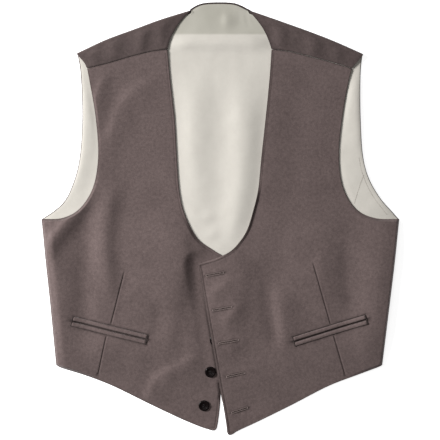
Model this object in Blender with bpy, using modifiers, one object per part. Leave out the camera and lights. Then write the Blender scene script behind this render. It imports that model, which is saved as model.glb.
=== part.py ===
"""A tailored waistcoat with a deep horseshoe neck, unfastened and laid flat on its back.

The wearer's left front laps over the right one. Every table below is in millimetres. The origin
is on the table top under the middle of the outline, X runs to the wearer's left, Y to the neck
and Z away from the table. "right" and "left" are the wearer's, so the right front has negative X.
"""
import math

import bmesh
import bpy
from mathutils import Matrix, Vector
from mathutils.bvhtree import BVHTree

METRES_PER_MM = 0.001
SIDES = ("right", "left")
OUTWARD = {"right": -1, "left": 1}

# Cloth, from the table upward: back, back lining, fronts.
BACK_WALL = 1.2
LINING_WALL = 1.0
FRONT_WALL = 1.8
WELT_WALL = 1.2
GAP = 0.3
LINING_REST = BACK_WALL + GAP
FRONT_REST = LINING_REST + LINING_WALL + GAP

# Where the fronts reach past the back's hem, they sink to the table between these heights.
SINK_FROM = -214
SINK_TO = -246

# The back wraps over each shoulder in a round fold and ends at the forward shoulder seam.
FOLD_HEIGHT = 6.5
SEAM_HEIGHT = 5.2
SEAM_GAP = 0.35

# The fronts roll round the sides and end just above the back's side seam.
NOSE_REACH = 4.0
NOSE_FOOT = 1.9
UNDERARM_FOOT = 2.5
UNDERARM_STEP = 4.0
NOSE_ANGLES = (0, 30, 60, 90)
SIDE_INSET = 0.8

# The crown is how far a front puffs up between its edges. A run is the distance from an edge
# over which a form grows to its full height.
CROWN = {"right": 2.4, "left": 1.9}
CROWN_SIDE_RUN = 14
CROWN_EDGE_RUN = 42
SEAM_RUN = 30
FOLD_EDGE_RUN = 16
# Where a trough would press a front into what lies below, it levels out this softly.
TROUGH_SOFTNESS = 0.5

# How the left front rides over the right one, and over the buttons under it.
LAP_CLEARANCE = 0.6
LAP_REACH = (8, 28)
LAP_FLAT_RUN = (3, 26)
BUTTON_REACH = (18, 42)

# Grid counts: rows below and above the underarm, and columns across. The back and its lining
# count the columns of the right shoulder, the neck and the left shoulder.
FRONT_ROWS = (15, 23)
FRONT_COLUMNS = 22
BACK_ROWS = (4, 9)
BACK_COLUMNS = (8, 8, 8)
LINING_ROWS = (6, 22)
LINING_COLUMNS = (7, 12, 7)
ARC_STEPS = 4
STRIP_ROWS = 4
RELAX_ROUNDS = 60
SPREAD_ROWS = 8
FOLD_STEPS = 8
NECK_STEPS = (24, 8)

# Edges that run up the garment. Each row is a height, then how far the edge lies from the
# centre line on the right and on the left; past the centre line is negative.
SIDE_SEAM = (
    # height, right, left
    (-216, 245.5, 242.0),
    (-121, 255.0, 254.0),
    (0, 267.0, 267.5),
)
FRONT_ARMHOLE = (
    # height, right, left
    (0, 267.0, 267.5),
    (1.5, 237.0, 232.5),
    (13.5, 213.0, 205.5),
    (43.5, 192.0, 186.0),
    (88.5, 183.0, 178.5),
    (148.5, 186.0, 183.0),
    (208.5, 196.0, 193.5),
    (226.0, 199.5, 198.0),
)
BACK_ARMHOLE = (
    # height, right, left
    (0, 266.0, 267.0),
    (13.5, 247.5, 256.5),
    (28.5, 232.5, 243.0),
    (58.5, 219.0, 225.0),
    (88.5, 211.5, 216.0),
    (148.5, 207.0, 211.5),
    (223.5, 210.0, 211.5),
    (244.5, 213.5, 213.5),
)
FRONT_EDGE = (
    # height, right, left
    (-309, 4.5, 9.7),
    (-282, 0.0, 5.1),
    (-261, -1.5, 0.9),
    (-195, -11.5, -10.3),
    (-122, -24.0, -23.3),
    (-67.5, -34.5, -32.5),
)
FRONT_NECK = (
    # height, right, left
    (-67.5, -34.5, -32.5),
    (-54.8, -3.8, 3.8),
    (-46.5, 10.5, 18.0),
    (-31.5, 31.5, 31.5),
    (-16.5, 42.0, 40.5),
    (13.5, 55.0, 50.0),
    (43.5, 61.0, 57.0),
    (88.5, 64.5, 61.5),
    (148.5, 68.0, 68.0),
    (208.5, 74.5, 74.0),
    (254.5, 78.8, 77.3),
)
STRIP_NECK = (
    # height, right, left
    (310.5, 43.8, 43.8),
    (301.5, 54.8, 53.0),
    (286.5, 66.0, 64.0),
    (271.5, 74.1, 71.5),
    (254.5, 78.8, 77.3),
)
STRIP_ARMHOLE = (
    # height, right, left
    (244.5, 213.8, 213.8),
    (234.8, 204.0, 205.0),
    (226.0, 199.5, 198.0),
)

# Edges that run across the garment. Each row is a distance from the centre line, then the
# edge's height on the right and on the left.
HEM = (
    # distance, right, left
    (245.5, -216.0, -219.0),
    (237, -222.5, -222.8),
    (205, -233.0, -233.6),
    (165, -248.4, -249.0),
    (105, -277.5, -279.8),
    (52, -302.0, -305.4),
    (24, -313.0, -318.3),
)
SHOULDER_SEAM = (
    # distance, right, left
    (199.5, 226.0, 225.0),
    (165, 234.6, 235.8),
    (134, 243.8, 243.8),
    (102, 251.5, 251.6),
    (78.8, 254.5, 254.0),
)
SHOULDER_FOLD = (
    # distance, right, left
    (215, 247.5, 246.3),
    (171, 268.5, 266.0),
    (130.5, 283.5, 281.8),
    (90, 298.5, 296.2),
    (45, 313.5, 313.3),
)
# Where hem and front edge meet, round the corner: distance from the centre, then height.
POINT = {"right": (10.0, -316.5), "left": (14.5, -323.5)}
BACK_HEM_HEIGHT = -216
BACK_HEM_DIP = 3
BACK_NECK = ((-45, 313.5), (-30, 322.0), (-12, 323.8), (24, 323.5), (33, 320.0), (45, 313.3))

# The largest folds. Each bends smoothly from one point past a middle one to its end, given as
# distance from the centre and height; a trough has a negative lift.
FOLDS = {
    "right": (
        # from, middle, to, width, lift
        ((253, -44), (210, 1), (172, 43), 11, -2.2),
        ((176, 36), (192, -32), (180, -107), 14, 2.6),
        ((160, 6), (160, -32), (156, -69), 11, -1.6),
        ((100, 213), (147, 183), (176, 123), 10, 1.3),
        ((160, 216), (165, 190), (170, 153), 10, -1.2),
        ((42, -64), (54, -122), (64, -182), 11, -2.4),
        ((97, -20), (92, -50), (85, -90), 34, 1.6),
    ),
    "left": (
        # from, middle, to, width, lift
        ((200, -9), (213, -69), (219, -147), 16, 1.8),
        ((182, -42), (184, -75), (184, -111), 11, -1.4),
        ((56, -12), (69, -106), (75, -166), 11, -1.2),
    ),
}
LINING_FOLDS = (
    # from, middle, to, width, lift
    ((-66, 273), (0, 276), (70, 272), 11, 1.9),
    ((-50, 205), (-50, 110), (-46, 20), 14, 1.3),
    ((14, 170), (16, 80), (12, -10), 13, 1.7),
)
LINING_FOLD_RUN = (12, 30)
LINING_INSET = {"side": 12, "hem": 12, "armhole": 1.6, "neck": 2.5, "fold": 0.5}
# An outline that turns by less than this, in radians, is taken as straight there.
STRAIGHT_TURN = 0.05

# A pocket's opening lies between two welts.
POCKETS = {
    # slit's outer end, slit's inner end
    "right": ((221, -153.0), (110, -180.5)),
    "left": ((218.5, -150.5), (111, -184.0)),
}
WELT_WIDTH = 6.6
WELT_PARTING = 0.9
WELT_STATIONS = 10
WELT_SECTION = (
    # share of the width, height added by the crown
    (0.0, 0.0),
    (0.25, 0.35),
    (0.75, 0.35),
    (1.0, 0.0),
)

# Buttons, from the top. Each is sewn to the right front.
BUTTON_CENTRES = ((12.0, -81.5), (3.4, -132.0), (-5.4, -182.0), (-14.5, -229.5), (-24.0, -280.2))
BUTTONS_UNDER_LAP = 3
BUTTON_RADIUS = 8.2
BUTTON_THICKNESS = 2.3
BUTTON_PROFILE = (
    # radius, height, from the top's middle down round the rim to the underside's middle
    (0.0, 1.5),
    (4.6, 1.5),
    (5.9, BUTTON_THICKNESS),
    (7.3, BUTTON_THICKNESS),
    (BUTTON_RADIUS, 1.5),
    (7.6, 0.5),
    (5.5, 0.0),
    (0.0, 0.0),
)
BUTTON_SIDES = 24
BUTTON_HOLES = 4
BUTTON_HOLE_RADIUS = 0.95
BUTTON_HOLE_SPREAD = 1.75
BUTTON_HOLE_SIDES = 8
# How many points are tried round a button, at each of these shares of its radius, to seat it.
SEAT_POINTS = 12
SEAT_SHARES = (0, 0.5, 1)
# Faces of a button that meet at more than this many degrees keep a sharp edge.
SMOOTH_ANGLE = 40
# A height above every piece, to look down from.
ABOVE_ALL = 100

FINISHES = {
    # colour, roughness
    "wool": ((0.140, 0.107, 0.098), 0.92),
    "satin": ((0.640, 0.600, 0.520), 0.42),
    "button": ((0.006, 0.005, 0.005), 0.28),
}


def smoothstep(low, high, value):
    share = min(max((value - low) / (high - low), 0.0), 1.0)
    return share * share * (3.0 - 2.0 * share)


def upright(table, side):
    """The points of an edge that runs up the garment."""
    column = 1 + SIDES.index(side)
    return [Vector((OUTWARD[side] * row[column], row[0])) for row in table]


def level(table, side):
    """The points of an edge that runs across the garment."""
    column = 1 + SIDES.index(side)
    return [Vector((OUTWARD[side] * row[0], row[column])) for row in table]


def placed(pair, side):
    """The point at a distance from the centre line and a height."""
    return Vector((OUTWARD[side] * pair[0], pair[1]))


def chain_lengths(points):
    """How far along a chain of straight runs each of its points lies."""
    lengths = [0.0]
    for start, end in zip(points, points[1:]):
        lengths.append(lengths[-1] + (end - start).length)
    return lengths


def points_at(points, distances):
    """The points at rising distances along a chain of straight runs."""
    lengths = chain_lengths(points)
    chosen = []
    run = 0
    for target in distances:
        while run < len(points) - 2 and lengths[run + 1] < target:
            run += 1
        share = (target - lengths[run]) / (lengths[run + 1] - lengths[run])
        chosen.append(points[run].lerp(points[run + 1], share))
    return chosen


def even_steps(points, count):
    """count + 1 points, evenly spaced along a chain of straight runs."""
    total = chain_lengths(points)[-1]
    return points_at(points, [total * step / count for step in range(count + 1)])


def smooth_curve(points, count, fineness=12):
    """count + 1 points, evenly spaced along a smooth curve through the given ones."""
    spans = [math.sqrt((end - start).length) for start, end in zip(points, points[1:])]
    rates = [(end - start) / span for start, end, span in zip(points, points[1:], spans)]
    slopes = [rates[0]]
    for before, after, rate, following in zip(spans, spans[1:], rates, rates[1:]):
        slopes.append((rate * after + following * before) / (before + after))
    slopes.append(rates[-1])
    dense = [points[0]]
    for index, span in enumerate(spans):
        start, end = points[index], points[index + 1]
        leave, arrive = slopes[index] * span, slopes[index + 1] * span
        for step in range(1, fineness + 1):
            t = step / fineness
            dense.append(start * (2 * t ** 3 - 3 * t ** 2 + 1) + leave * (t ** 3 - 2 * t ** 2 + t)
                         + end * (3 * t ** 2 - 2 * t ** 3) + arrive * (t ** 3 - t ** 2))
    return even_steps(dense, count)


def flat_sheet(edges, rounds=RELAX_ROUNDS):
    """Rows of points that fill four edges: (bottom, top, start side, end side).

    The inner points start between the edges and are then eased towards the middle of their
    neighbours, so that no cell is pinched where an edge turns sharply.
    """
    bottom, top, start, end = edges
    height, width = len(start) - 1, len(bottom) - 1
    sheet = [[start[row].lerp(end[row], column / width) for column in range(width + 1)]
             for row in range(height + 1)]
    sheet[0], sheet[-1] = list(bottom), list(top)
    for _ in range(rounds):
        for row in range(1, height):
            for column in range(1, width):
                sheet[row][column] = (sheet[row - 1][column] + sheet[row + 1][column]
                                      + sheet[row][column - 1] + sheet[row][column + 1]) / 4
    return sheet


def distance_to_chain(point, chain):
    """How far a point lies from a chain of straight runs."""
    nearest = math.inf
    for start, end in zip(chain, chain[1:]):
        run = end - start
        share = min(max((point - start).dot(run) / run.length_squared, 0.0), 1.0)
        nearest = min(nearest, (point - start - run * share).length)
    return nearest


def is_inside(point, ring):
    """Whether a closed ring of points goes round the point."""
    inside = False
    for start, end in zip(ring, ring[1:] + ring[:1]):
        if (start.y > point.y) != (end.y > point.y):
            crossing = start.x + (end.x - start.x) * (point.y - start.y) / (end.y - start.y)
            if crossing > point.x:
                inside = not inside
    return inside


def fold_lift(point, folds):
    """The height that a list of folds adds at a point."""
    lift = 0.0
    for chain, width, height in folds:
        lift += height * math.exp(-(distance_to_chain(point, chain) / width) ** 2)
    return lift


def fold_chains(table, side):
    """Each fold of a table as its line, width and lift. The lining's table has no side."""
    chains = []
    for start, middle, end, width, lift in table:
        points = [placed(pair, side) if side else Vector(pair) for pair in (start, middle, end)]
        chains.append((smooth_curve(points, FOLD_STEPS), width, lift))
    return chains


def front_edges(side):
    """The hem, shoulder seam, outer edge and inner edge of one front."""
    low, high = FRONT_ROWS
    corner = upright(SIDE_SEAM, side)[0]
    hem_points = [corner] + level(HEM, side)[1:] + [placed(POINT[side], side)]
    front_points = [placed(POINT[side], side)] + upright(FRONT_EDGE, side)
    neck_end = upright(FRONT_NECK, side)[-1]
    arm_end = upright(FRONT_ARMHOLE, side)[-1]
    seam_points = [arm_end] + level(SHOULDER_SEAM, side)[1:-1] + [neck_end]
    armhole = smooth_curve(upright(FRONT_ARMHOLE, side), high)
    armhole[1] = armhole[0] + (armhole[1] - armhole[0]).normalized() * UNDERARM_STEP
    outer = smooth_curve(upright(SIDE_SEAM, side), low) + armhole[1:]
    inner = (smooth_curve(front_points, low)
             + smooth_curve(upright(FRONT_NECK, side), high)[1:])
    return (smooth_curve(hem_points, FRONT_COLUMNS),
            smooth_curve(seam_points, FRONT_COLUMNS), outer, inner)


def front_ring(edges):
    """The outline of a front as one closed ring."""
    bottom, top, outer, inner = edges
    return outer + top[1:] + inner[-2::-1] + bottom[-2:0:-1]


def support_height(point):
    """The height of the underside of a front that lies on what is below it, without the lap."""
    return FRONT_REST * smoothstep(SINK_TO, SINK_FROM, point.y)


def distance_outside(point, ring):
    """How far a point lies outside a closed ring, and 0 within it."""
    if is_inside(point, ring):
        return 0.0
    return distance_to_chain(point, ring + ring[:1])


class Lap:
    """The overlap, where the left front rides over the right one and over its buttons."""

    def __init__(self, outlines):
        self.under = front_ring(outlines["right"])
        self.over = front_ring(outlines["left"])
        self.buttons = [Vector(centre) for centre in BUTTON_CENTRES[:BUTTONS_UNDER_LAP]]

    def raised(self, point):
        """How far the left front is lifted."""
        over_front = 1 - smoothstep(*LAP_REACH, distance_outside(point, self.under))
        over_button = 1 - smoothstep(*BUTTON_REACH, distance_to_chain(point, self.buttons))
        return ((FRONT_WALL + LAP_CLEARANCE) * over_front
                + (BUTTON_THICKNESS + LAP_CLEARANCE) * over_button)

    def freedom(self, side, point):
        """1 where a front is free to puff up, and 0 where the two lie on each other."""
        other = self.over if side == "right" else self.under
        return smoothstep(*LAP_FLAT_RUN, distance_outside(point, other))


def front_lift(side, point, edges, folds, lap):
    """How far a front puffs up off what it lies on."""
    bottom, top, outer, inner = edges
    low = FRONT_ROWS[0]
    from_seam = distance_to_chain(point, top)
    from_free_edge = min(distance_to_chain(point, outer[low:]), distance_to_chain(point, inner),
                         distance_to_chain(point, bottom))
    from_side = distance_to_chain(point, outer[:low + 1])
    crown = (CROWN[side] * smoothstep(0, CROWN_EDGE_RUN, from_free_edge)
             * smoothstep(0, CROWN_SIDE_RUN, from_side))
    creases = fold_lift(point, folds) * smoothstep(0, FOLD_EDGE_RUN, min(from_free_edge, from_side))
    total = crown + creases
    levelled = (total + math.hypot(total, TROUGH_SOFTNESS) - TROUGH_SOFTNESS) / 2
    free_lift = levelled * lap.freedom(side, point)
    seam_lift = SEAM_HEIGHT - FRONT_REST - FRONT_WALL
    held = 1 - smoothstep(0, SEAM_RUN, from_seam)
    return free_lift * (1 - held) + seam_lift * held


def rolled_row(row_points, rows_above):
    """A row with its first points gathered onto the roll round the garment's side.

    Each point comes with its sag: 1 at the foot of the roll, 0 where the front lies flat. Above
    the underarm nothing sags, and the points spread out again over a few rows.
    """
    lengths = chain_lengths(row_points)
    total = lengths[-1]
    angles = [math.radians(angle) for angle in NOSE_ANGLES]
    gathered = [NOSE_REACH * (1 - math.cos(angle)) for angle in angles]
    free = len(row_points) - len(angles)
    gathered += [NOSE_REACH + (total - NOSE_REACH) * step / free for step in range(1, free + 1)]
    spread = smoothstep(0, SPREAD_ROWS, rows_above)
    distances = [near + (far - near) * spread for near, far in zip(gathered, lengths)]
    sags = [0.0] * len(row_points)
    if rows_above <= 0:
        sags[:len(angles)] = [1 - math.sin(angle) for angle in angles]
    return list(zip(points_at(row_points, distances), sags))


def front_grid(side, edges, lap):
    """Rows of outer-face points, from the hem up and from the side inward."""
    folds = fold_chains(FOLDS[side], side)
    low = FRONT_ROWS[0]
    rows = []
    for row, row_points in enumerate(flat_sheet(edges)):
        foot = UNDERARM_FOOT if row == low else NOSE_FOOT
        finished = []
        for flat, sag in rolled_row(row_points, row - low):
            height = (support_height(flat) + FRONT_WALL
                      + front_lift(side, flat, edges, folds, lap))
            if side == "left":
                height += lap.raised(flat)
            height -= sag * (height - foot)
            finished.append(Vector((flat.x, flat.y, height)))
        rows.append(finished)
    return rows


def back_sides():
    """The side seam and armhole of the back, on the right and then on the left."""
    sides = []
    for side in SIDES:
        seam = [Vector((point.x - OUTWARD[side] * SIDE_INSET, point.y))
                for point in upright(SIDE_SEAM, side)]
        shoulder_tip = fold_line(side, BACK_COLUMNS[0])[0]
        armhole = [seam[-1]] + upright(BACK_ARMHOLE, side)[1:-1] + [shoulder_tip]
        sides.append((seam, armhole))
    return sides


def fold_outward(side):
    """The direction in which a shoulder's fold points."""
    ends = level(SHOULDER_FOLD, side)
    run = (ends[-1] - ends[0]).normalized()
    outward = Vector((-run.y, run.x))
    return outward if outward.y > 0 else -outward


def fold_line(side, count):
    """Where a shoulder's fold leaves the table, from the shoulder tip to the neck."""
    radius = FOLD_HEIGHT / 2
    return [point - fold_outward(side) * radius
            for point in smooth_curve(level(SHOULDER_FOLD, side), count)]


def back_edges(rows, columns):
    """The hem, top, right and left edges of the back where it lies on the table."""
    low, high = rows
    right_count, neck_count, left_count = columns
    right_fold = fold_line("right", right_count)
    left_fold = fold_line("left", left_count)[::-1]
    neck_points = [right_fold[-1]] + [Vector(p) for p in BACK_NECK[1:-1]] + [left_fold[0]]
    top = right_fold + smooth_curve(neck_points, neck_count)[1:] + left_fold[1:]
    uprights = []
    for seam, armhole in back_sides():
        uprights.append(smooth_curve(seam, low) + smooth_curve(armhole, high)[1:])
    right, left = uprights
    middle = Vector(((right[0].x + left[0].x) / 2, BACK_HEM_HEIGHT - BACK_HEM_DIP))
    bottom = smooth_curve([right[0], middle, left[0]], sum(columns))
    return bottom, top, right, left


def strip_rows(side, count):
    """The cloth that wraps over one shoulder, from the fold to the forward seam."""
    radius = FOLD_HEIGHT / 2
    fold = fold_line(side, count)
    outward = fold_outward(side)
    rows = []
    for step in range(1, ARC_STEPS + 1):
        angle = math.pi * step / ARC_STEPS
        shift = outward * (radius * math.sin(angle))
        height = radius * (1 - math.cos(angle))
        rows.append([Vector((*(point + shift), height)) for point in fold])
    gap = Vector((0, SEAM_GAP))
    armhole = [fold[0]] + upright(STRIP_ARMHOLE, side)[1:]
    neck = [fold[-1]] + upright(STRIP_NECK, side)[1:]
    seam = [armhole[-1]] + level(SHOULDER_SEAM, side)[1:-1] + [neck[-1]]
    armhole[-1] = armhole[-1] + gap
    neck[-1] = neck[-1] + gap
    edges = (fold, smooth_curve([point + gap for point in seam], count),
             smooth_curve(armhole, STRIP_ROWS), smooth_curve(neck, STRIP_ROWS))
    for row, row_points in enumerate(flat_sheet(edges)[1:], start=1):
        height = FOLD_HEIGHT + (SEAM_HEIGHT - FOLD_HEIGHT) * smoothstep(0, STRIP_ROWS, row)
        rows.append([Vector((*point, height)) for point in row_points])
    return rows


def grid_faces(rows):
    """Quads between the rows of a grid of vertices."""
    faces = []
    for lower, upper in zip(rows, rows[1:]):
        for column in range(len(lower) - 1):
            faces.append((lower[column], lower[column + 1], upper[column + 1], upper[column]))
    return faces


def inset_edges(edges, insets, columns):
    """The four edges of the back, each moved inward by its own distance."""
    bottom, top, right, left = edges
    low = LINING_ROWS[0]
    ring = [(point, "hem") for point in bottom[:-1]]
    for row, point in enumerate(left[:-1]):
        ring.append((point, "side" if row < low else "armhole"))
    for index in range(len(top) - 1, 0, -1):
        on_neck = columns[0] < index <= columns[0] + columns[1]
        ring.append((top[index], "neck" if on_neck else "fold"))
    for row in range(len(right) - 1, 0, -1):
        ring.append((right[row], "side" if row <= low else "armhole"))
    moved = []
    for index, (point, kind) in enumerate(ring):
        before, before_kind = ring[index - 1]
        after = ring[(index + 1) % len(ring)][0]
        arrive = (point - before).normalized()
        leave = (after - point).normalized()
        arrive_normal = Vector((-arrive.y, arrive.x))
        leave_normal = Vector((-leave.y, leave.x))
        turn = arrive.cross(leave)
        if abs(turn) < STRAIGHT_TURN:
            moved.append(point + (arrive_normal + leave_normal).normalized()
                         * (insets[before_kind] + insets[kind]) / 2)
        else:
            moved.append(point + (leave * insets[before_kind] - arrive * insets[kind]) / turn)
    across = len(bottom) - 1
    up = len(left) - 1
    corners = [0, across, across + up, 2 * across + up, 2 * (across + up)]
    moved.append(moved[0])
    new_bottom, new_left, new_top, new_right = (
        moved[start:end + 1] for start, end in zip(corners, corners[1:]))
    return new_bottom, new_top[::-1], new_right[::-1], new_left


def make_object(name, mesh, finish):
    """A named object in the garment's collection, with its own material."""
    colour, roughness = FINISHES[finish]
    material = bpy.data.materials.new(f"{name}_{finish}")
    material.use_nodes = True
    shader = material.node_tree.nodes["Principled BSDF"]
    shader.inputs["Base Color"].default_value = (*colour, 1.0)
    shader.inputs["Roughness"].default_value = roughness
    shader.inputs["Metallic"].default_value = 0.0
    made = bpy.data.objects.new(name, mesh)
    made.data.materials.append(material)
    bpy.data.collections["waistcoat"].objects.link(made)
    return made


def make_sheet(name, points, faces, wall, finish):
    """A sheet of cloth from its outer face, with its wall on the inner side."""
    mesh = bpy.data.meshes.new(name)
    mesh.from_pydata([point * METRES_PER_MM for point in points], [], faces)
    mesh.update()
    mesh.shade_smooth()
    made = make_object(name, mesh, finish)
    shell = made.modifiers.new("wall", "SOLIDIFY")
    shell.thickness = wall * METRES_PER_MM
    shell.offset = -1
    shell.use_rim = True
    return made


def make_grid_sheet(name, rows, wall, finish):
    """A sheet whose outer face is one grid of points."""
    width = len(rows[0])
    numbers = [[row * width + column for column in range(width)] for row in range(len(rows))]
    faces = grid_faces(numbers)
    first = rows[0][1] - rows[0][0]
    second = rows[1][0] - rows[0][0]
    if first.cross(second).z < 0:
        faces = [face[::-1] for face in faces]
    return make_sheet(name, [point for row in rows for point in row], faces, wall, finish)


def make_back():
    """The back, flat on the table, with a strip wrapped over each shoulder."""
    points = []
    rows = []
    for row_points in flat_sheet(back_edges(BACK_ROWS, BACK_COLUMNS)):
        rows.append([len(points) + index for index in range(len(row_points))])
        points.extend(Vector((*point, 0)) for point in row_points)
    faces = grid_faces(rows)
    top_row = rows[-1]
    for side in SIDES:
        count = BACK_COLUMNS[0] if side == "right" else BACK_COLUMNS[2]
        start = top_row[:count + 1] if side == "right" else top_row[-count - 1:]
        strip = [start]
        for row_points in strip_rows(side, count):
            ordered = row_points if side == "right" else row_points[::-1]
            strip.append([len(points) + index for index in range(count + 1)])
            points.extend(ordered)
        faces += grid_faces(strip)
    outward_faces = [face[::-1] for face in faces]
    return make_sheet("back", points, outward_faces, BACK_WALL, "wool")


def make_lining():
    """The back lining, with the soft folds that show through the neck."""
    edges = inset_edges(back_edges(LINING_ROWS, LINING_COLUMNS), LINING_INSET, LINING_COLUMNS)
    chains = fold_chains(LINING_FOLDS, None)
    neck_right, neck_left = (smooth_curve(upright(FRONT_NECK, side), NECK_STEPS[0])
                             for side in SIDES)
    strip_right, strip_left = (smooth_curve(upright(STRIP_NECK, side), NECK_STEPS[1])
                               for side in SIDES)
    opening = neck_right[:-1] + strip_right[::-1] + strip_left + neck_left[-2::-1]
    rows = []
    for flat_points in flat_sheet(edges):
        row_points = []
        for flat in flat_points:
            height = LINING_REST + LINING_WALL
            if is_inside(flat, opening):
                clear = smoothstep(*LINING_FOLD_RUN,
                                   distance_to_chain(flat, opening + opening[:1]))
                height += fold_lift(flat, chains) * clear
            row_points.append(Vector((flat.x, flat.y, height)))
        rows.append(row_points)
    return make_grid_sheet("back_lining", rows, LINING_WALL, "satin")


def surface_tree(made):
    """A search tree of an object's finished faces, to lay other pieces on it."""
    return BVHTree.FromObject(made, bpy.context.evaluated_depsgraph_get())


def top_height(tree, flat):
    """The height of the surface below a point, in millimetres."""
    start = Vector((flat.x, flat.y, ABOVE_ALL)) * METRES_PER_MM
    hit = tree.ray_cast(start, Vector((0, 0, -1)))[0]
    return hit.z / METRES_PER_MM


def make_welts(side, tree):
    """The two welts of one pocket, laid on the front on either side of the slit."""
    outer, inner = (placed(end, side) for end in POCKETS[side])
    start, end = sorted((outer, inner), key=lambda point: point.x)
    run = (end - start).normalized()
    upward = Vector((-run.y, run.x))
    for place, sense in (("upper", 1), ("lower", -1)):
        rows = []
        for station in range(WELT_STATIONS + 1):
            centre = start.lerp(end, station / WELT_STATIONS)
            row_points = []
            for share, crown in WELT_SECTION:
                offset = sense * (WELT_PARTING / 2 + WELT_WIDTH * share)
                flat = centre + upward * offset
                height = top_height(tree, flat) + GAP + WELT_WALL + crown
                row_points.append(Vector((flat.x, flat.y, height)))
            rows.append(row_points)
        make_grid_sheet(f"{side}_pocket_{place}_welt", rows, WELT_WALL, "wool")


def make_button_mesh(cutters):
    """A four-hole button: a turned, dished disc with its holes cut through."""
    profile = bpy.data.meshes.new("button_profile")
    heights = [Vector((radius, 0, height)) * METRES_PER_MM for radius, height in BUTTON_PROFILE]
    profile.from_pydata(heights, [(i, i + 1) for i in range(len(heights) - 1)], [])
    turned = bpy.data.objects.new("button_blank", profile)
    cutters.objects.link(turned)
    screw = turned.modifiers.new("turn", "SCREW")
    screw.steps = BUTTON_SIDES
    screw.render_steps = BUTTON_SIDES
    screw.use_merge_vertices = True
    screw.merge_threshold = 0.0001
    for number in range(BUTTON_HOLES):
        angle = math.tau * (number + 0.5) / BUTTON_HOLES
        place = Vector((math.cos(angle), math.sin(angle), 0)) * BUTTON_HOLE_SPREAD
        drill_mesh = bpy.data.meshes.new(f"button_drill_{number}")
        drill_form = bmesh.new()
        bmesh.ops.create_cone(drill_form, cap_ends=True, segments=BUTTON_HOLE_SIDES,
                              radius1=BUTTON_HOLE_RADIUS * METRES_PER_MM,
                              radius2=BUTTON_HOLE_RADIUS * METRES_PER_MM,
                              depth=4 * BUTTON_THICKNESS * METRES_PER_MM)
        drill_form.to_mesh(drill_mesh)
        drill_form.free()
        drill = bpy.data.objects.new(f"button_drill_{number}", drill_mesh)
        drill.location = place * METRES_PER_MM
        drill.hide_render = True
        drill.display_type = "WIRE"
        cutters.objects.link(drill)
        cut = turned.modifiers.new(f"hole_{number}", "BOOLEAN")
        cut.object = drill
        cut.operation = "DIFFERENCE"
    bpy.context.view_layer.update()
    finished = turned.evaluated_get(bpy.context.evaluated_depsgraph_get())
    mesh = bpy.data.meshes.new_from_object(finished)
    mesh.name = "button"
    mesh.shade_smooth()
    mesh.set_sharp_from_angle(angle=math.radians(SMOOTH_ANGLE))
    bpy.data.objects.remove(turned)
    return mesh


def make_buttons(tree, cutters):
    """The five buttons, each lying square on the right front where it is sewn."""
    mesh = make_button_mesh(cutters)
    angles = [math.tau * step / SEAT_POINTS for step in range(SEAT_POINTS)]
    offsets = [Vector((math.cos(angle), math.sin(angle))) * share * BUTTON_RADIUS
               for share in SEAT_SHARES for angle in angles]
    for number, centre in enumerate(BUTTON_CENTRES, start=1):
        centre = Vector(centre)
        slope = Vector()
        for axis in range(2):
            reach = Vector((0, 0))
            reach[axis] = BUTTON_RADIUS
            rise = top_height(tree, centre + reach) - top_height(tree, centre - reach)
            slope[axis] = rise / (2 * BUTTON_RADIUS)
        seat = max(top_height(tree, centre + offset) - slope.xy.dot(offset)
                   for offset in offsets)
        upward = Vector((-slope.x, -slope.y, 1)).normalized()
        turn = Vector((0, 0, 1)).rotation_difference(upward).to_matrix().to_4x4()
        place = Vector((centre.x, centre.y, seat + GAP)) * METRES_PER_MM
        button = make_object(f"button_{number}", mesh.copy(), "button")
        button.matrix_world = Matrix.Translation(place) @ turn


def main():
    """Clear the scene and make every piece."""
    for old in list(bpy.data.objects):
        bpy.data.objects.remove(old)
    garment = bpy.data.collections.new("waistcoat")
    cutters = bpy.data.collections.new("cutters")
    bpy.context.scene.collection.children.link(garment)
    bpy.context.scene.collection.children.link(cutters)

    make_back()
    make_lining()
    outlines = {side: front_edges(side) for side in SIDES}
    lap = Lap(outlines)
    trees = {}
    for side in SIDES:
        rows = front_grid(side, outlines[side], lap)
        front = make_grid_sheet(f"{side}_front", rows, FRONT_WALL, "wool")
        bpy.context.view_layer.update()
        trees[side] = surface_tree(front)
    for side in SIDES:
        make_welts(side, trees[side])
    make_buttons(trees["right"], cutters)


main()
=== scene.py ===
"""The looks of a tailored waistcoat laid open and flat on its back.

Fine cloth pieces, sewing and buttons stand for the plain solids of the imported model. Every table
is in millimetres, in the model's own frame: X runs to the wearer's left, Y to the neck and Z up
from the table. "right" and "left" are the wearer's, and the outlines' tables give distances from
the centre line.
"""

import math

import bmesh
import bpy
import numpy as np
from mathutils import Matrix, Vector, noise
from mathutils.geometry import delaunay_2d_cdt


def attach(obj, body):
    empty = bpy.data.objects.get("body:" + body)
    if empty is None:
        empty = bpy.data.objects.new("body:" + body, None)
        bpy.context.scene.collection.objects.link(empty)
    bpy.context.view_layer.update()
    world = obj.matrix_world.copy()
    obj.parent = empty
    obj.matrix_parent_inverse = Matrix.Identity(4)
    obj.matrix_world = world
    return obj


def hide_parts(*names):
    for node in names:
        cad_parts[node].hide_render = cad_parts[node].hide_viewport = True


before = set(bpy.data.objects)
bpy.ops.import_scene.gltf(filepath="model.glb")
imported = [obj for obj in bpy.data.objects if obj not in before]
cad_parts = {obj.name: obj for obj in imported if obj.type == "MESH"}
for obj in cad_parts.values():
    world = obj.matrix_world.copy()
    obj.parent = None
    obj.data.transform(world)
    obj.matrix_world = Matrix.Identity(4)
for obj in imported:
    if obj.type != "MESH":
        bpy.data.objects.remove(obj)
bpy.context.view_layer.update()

METRES_PER_MM = 0.001
SIDES = ("right", "left")
OUTWARD = {"right": -1, "left": 1}
FREE_EDGES = ("hem", "front", "neck", "armhole")

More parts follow.
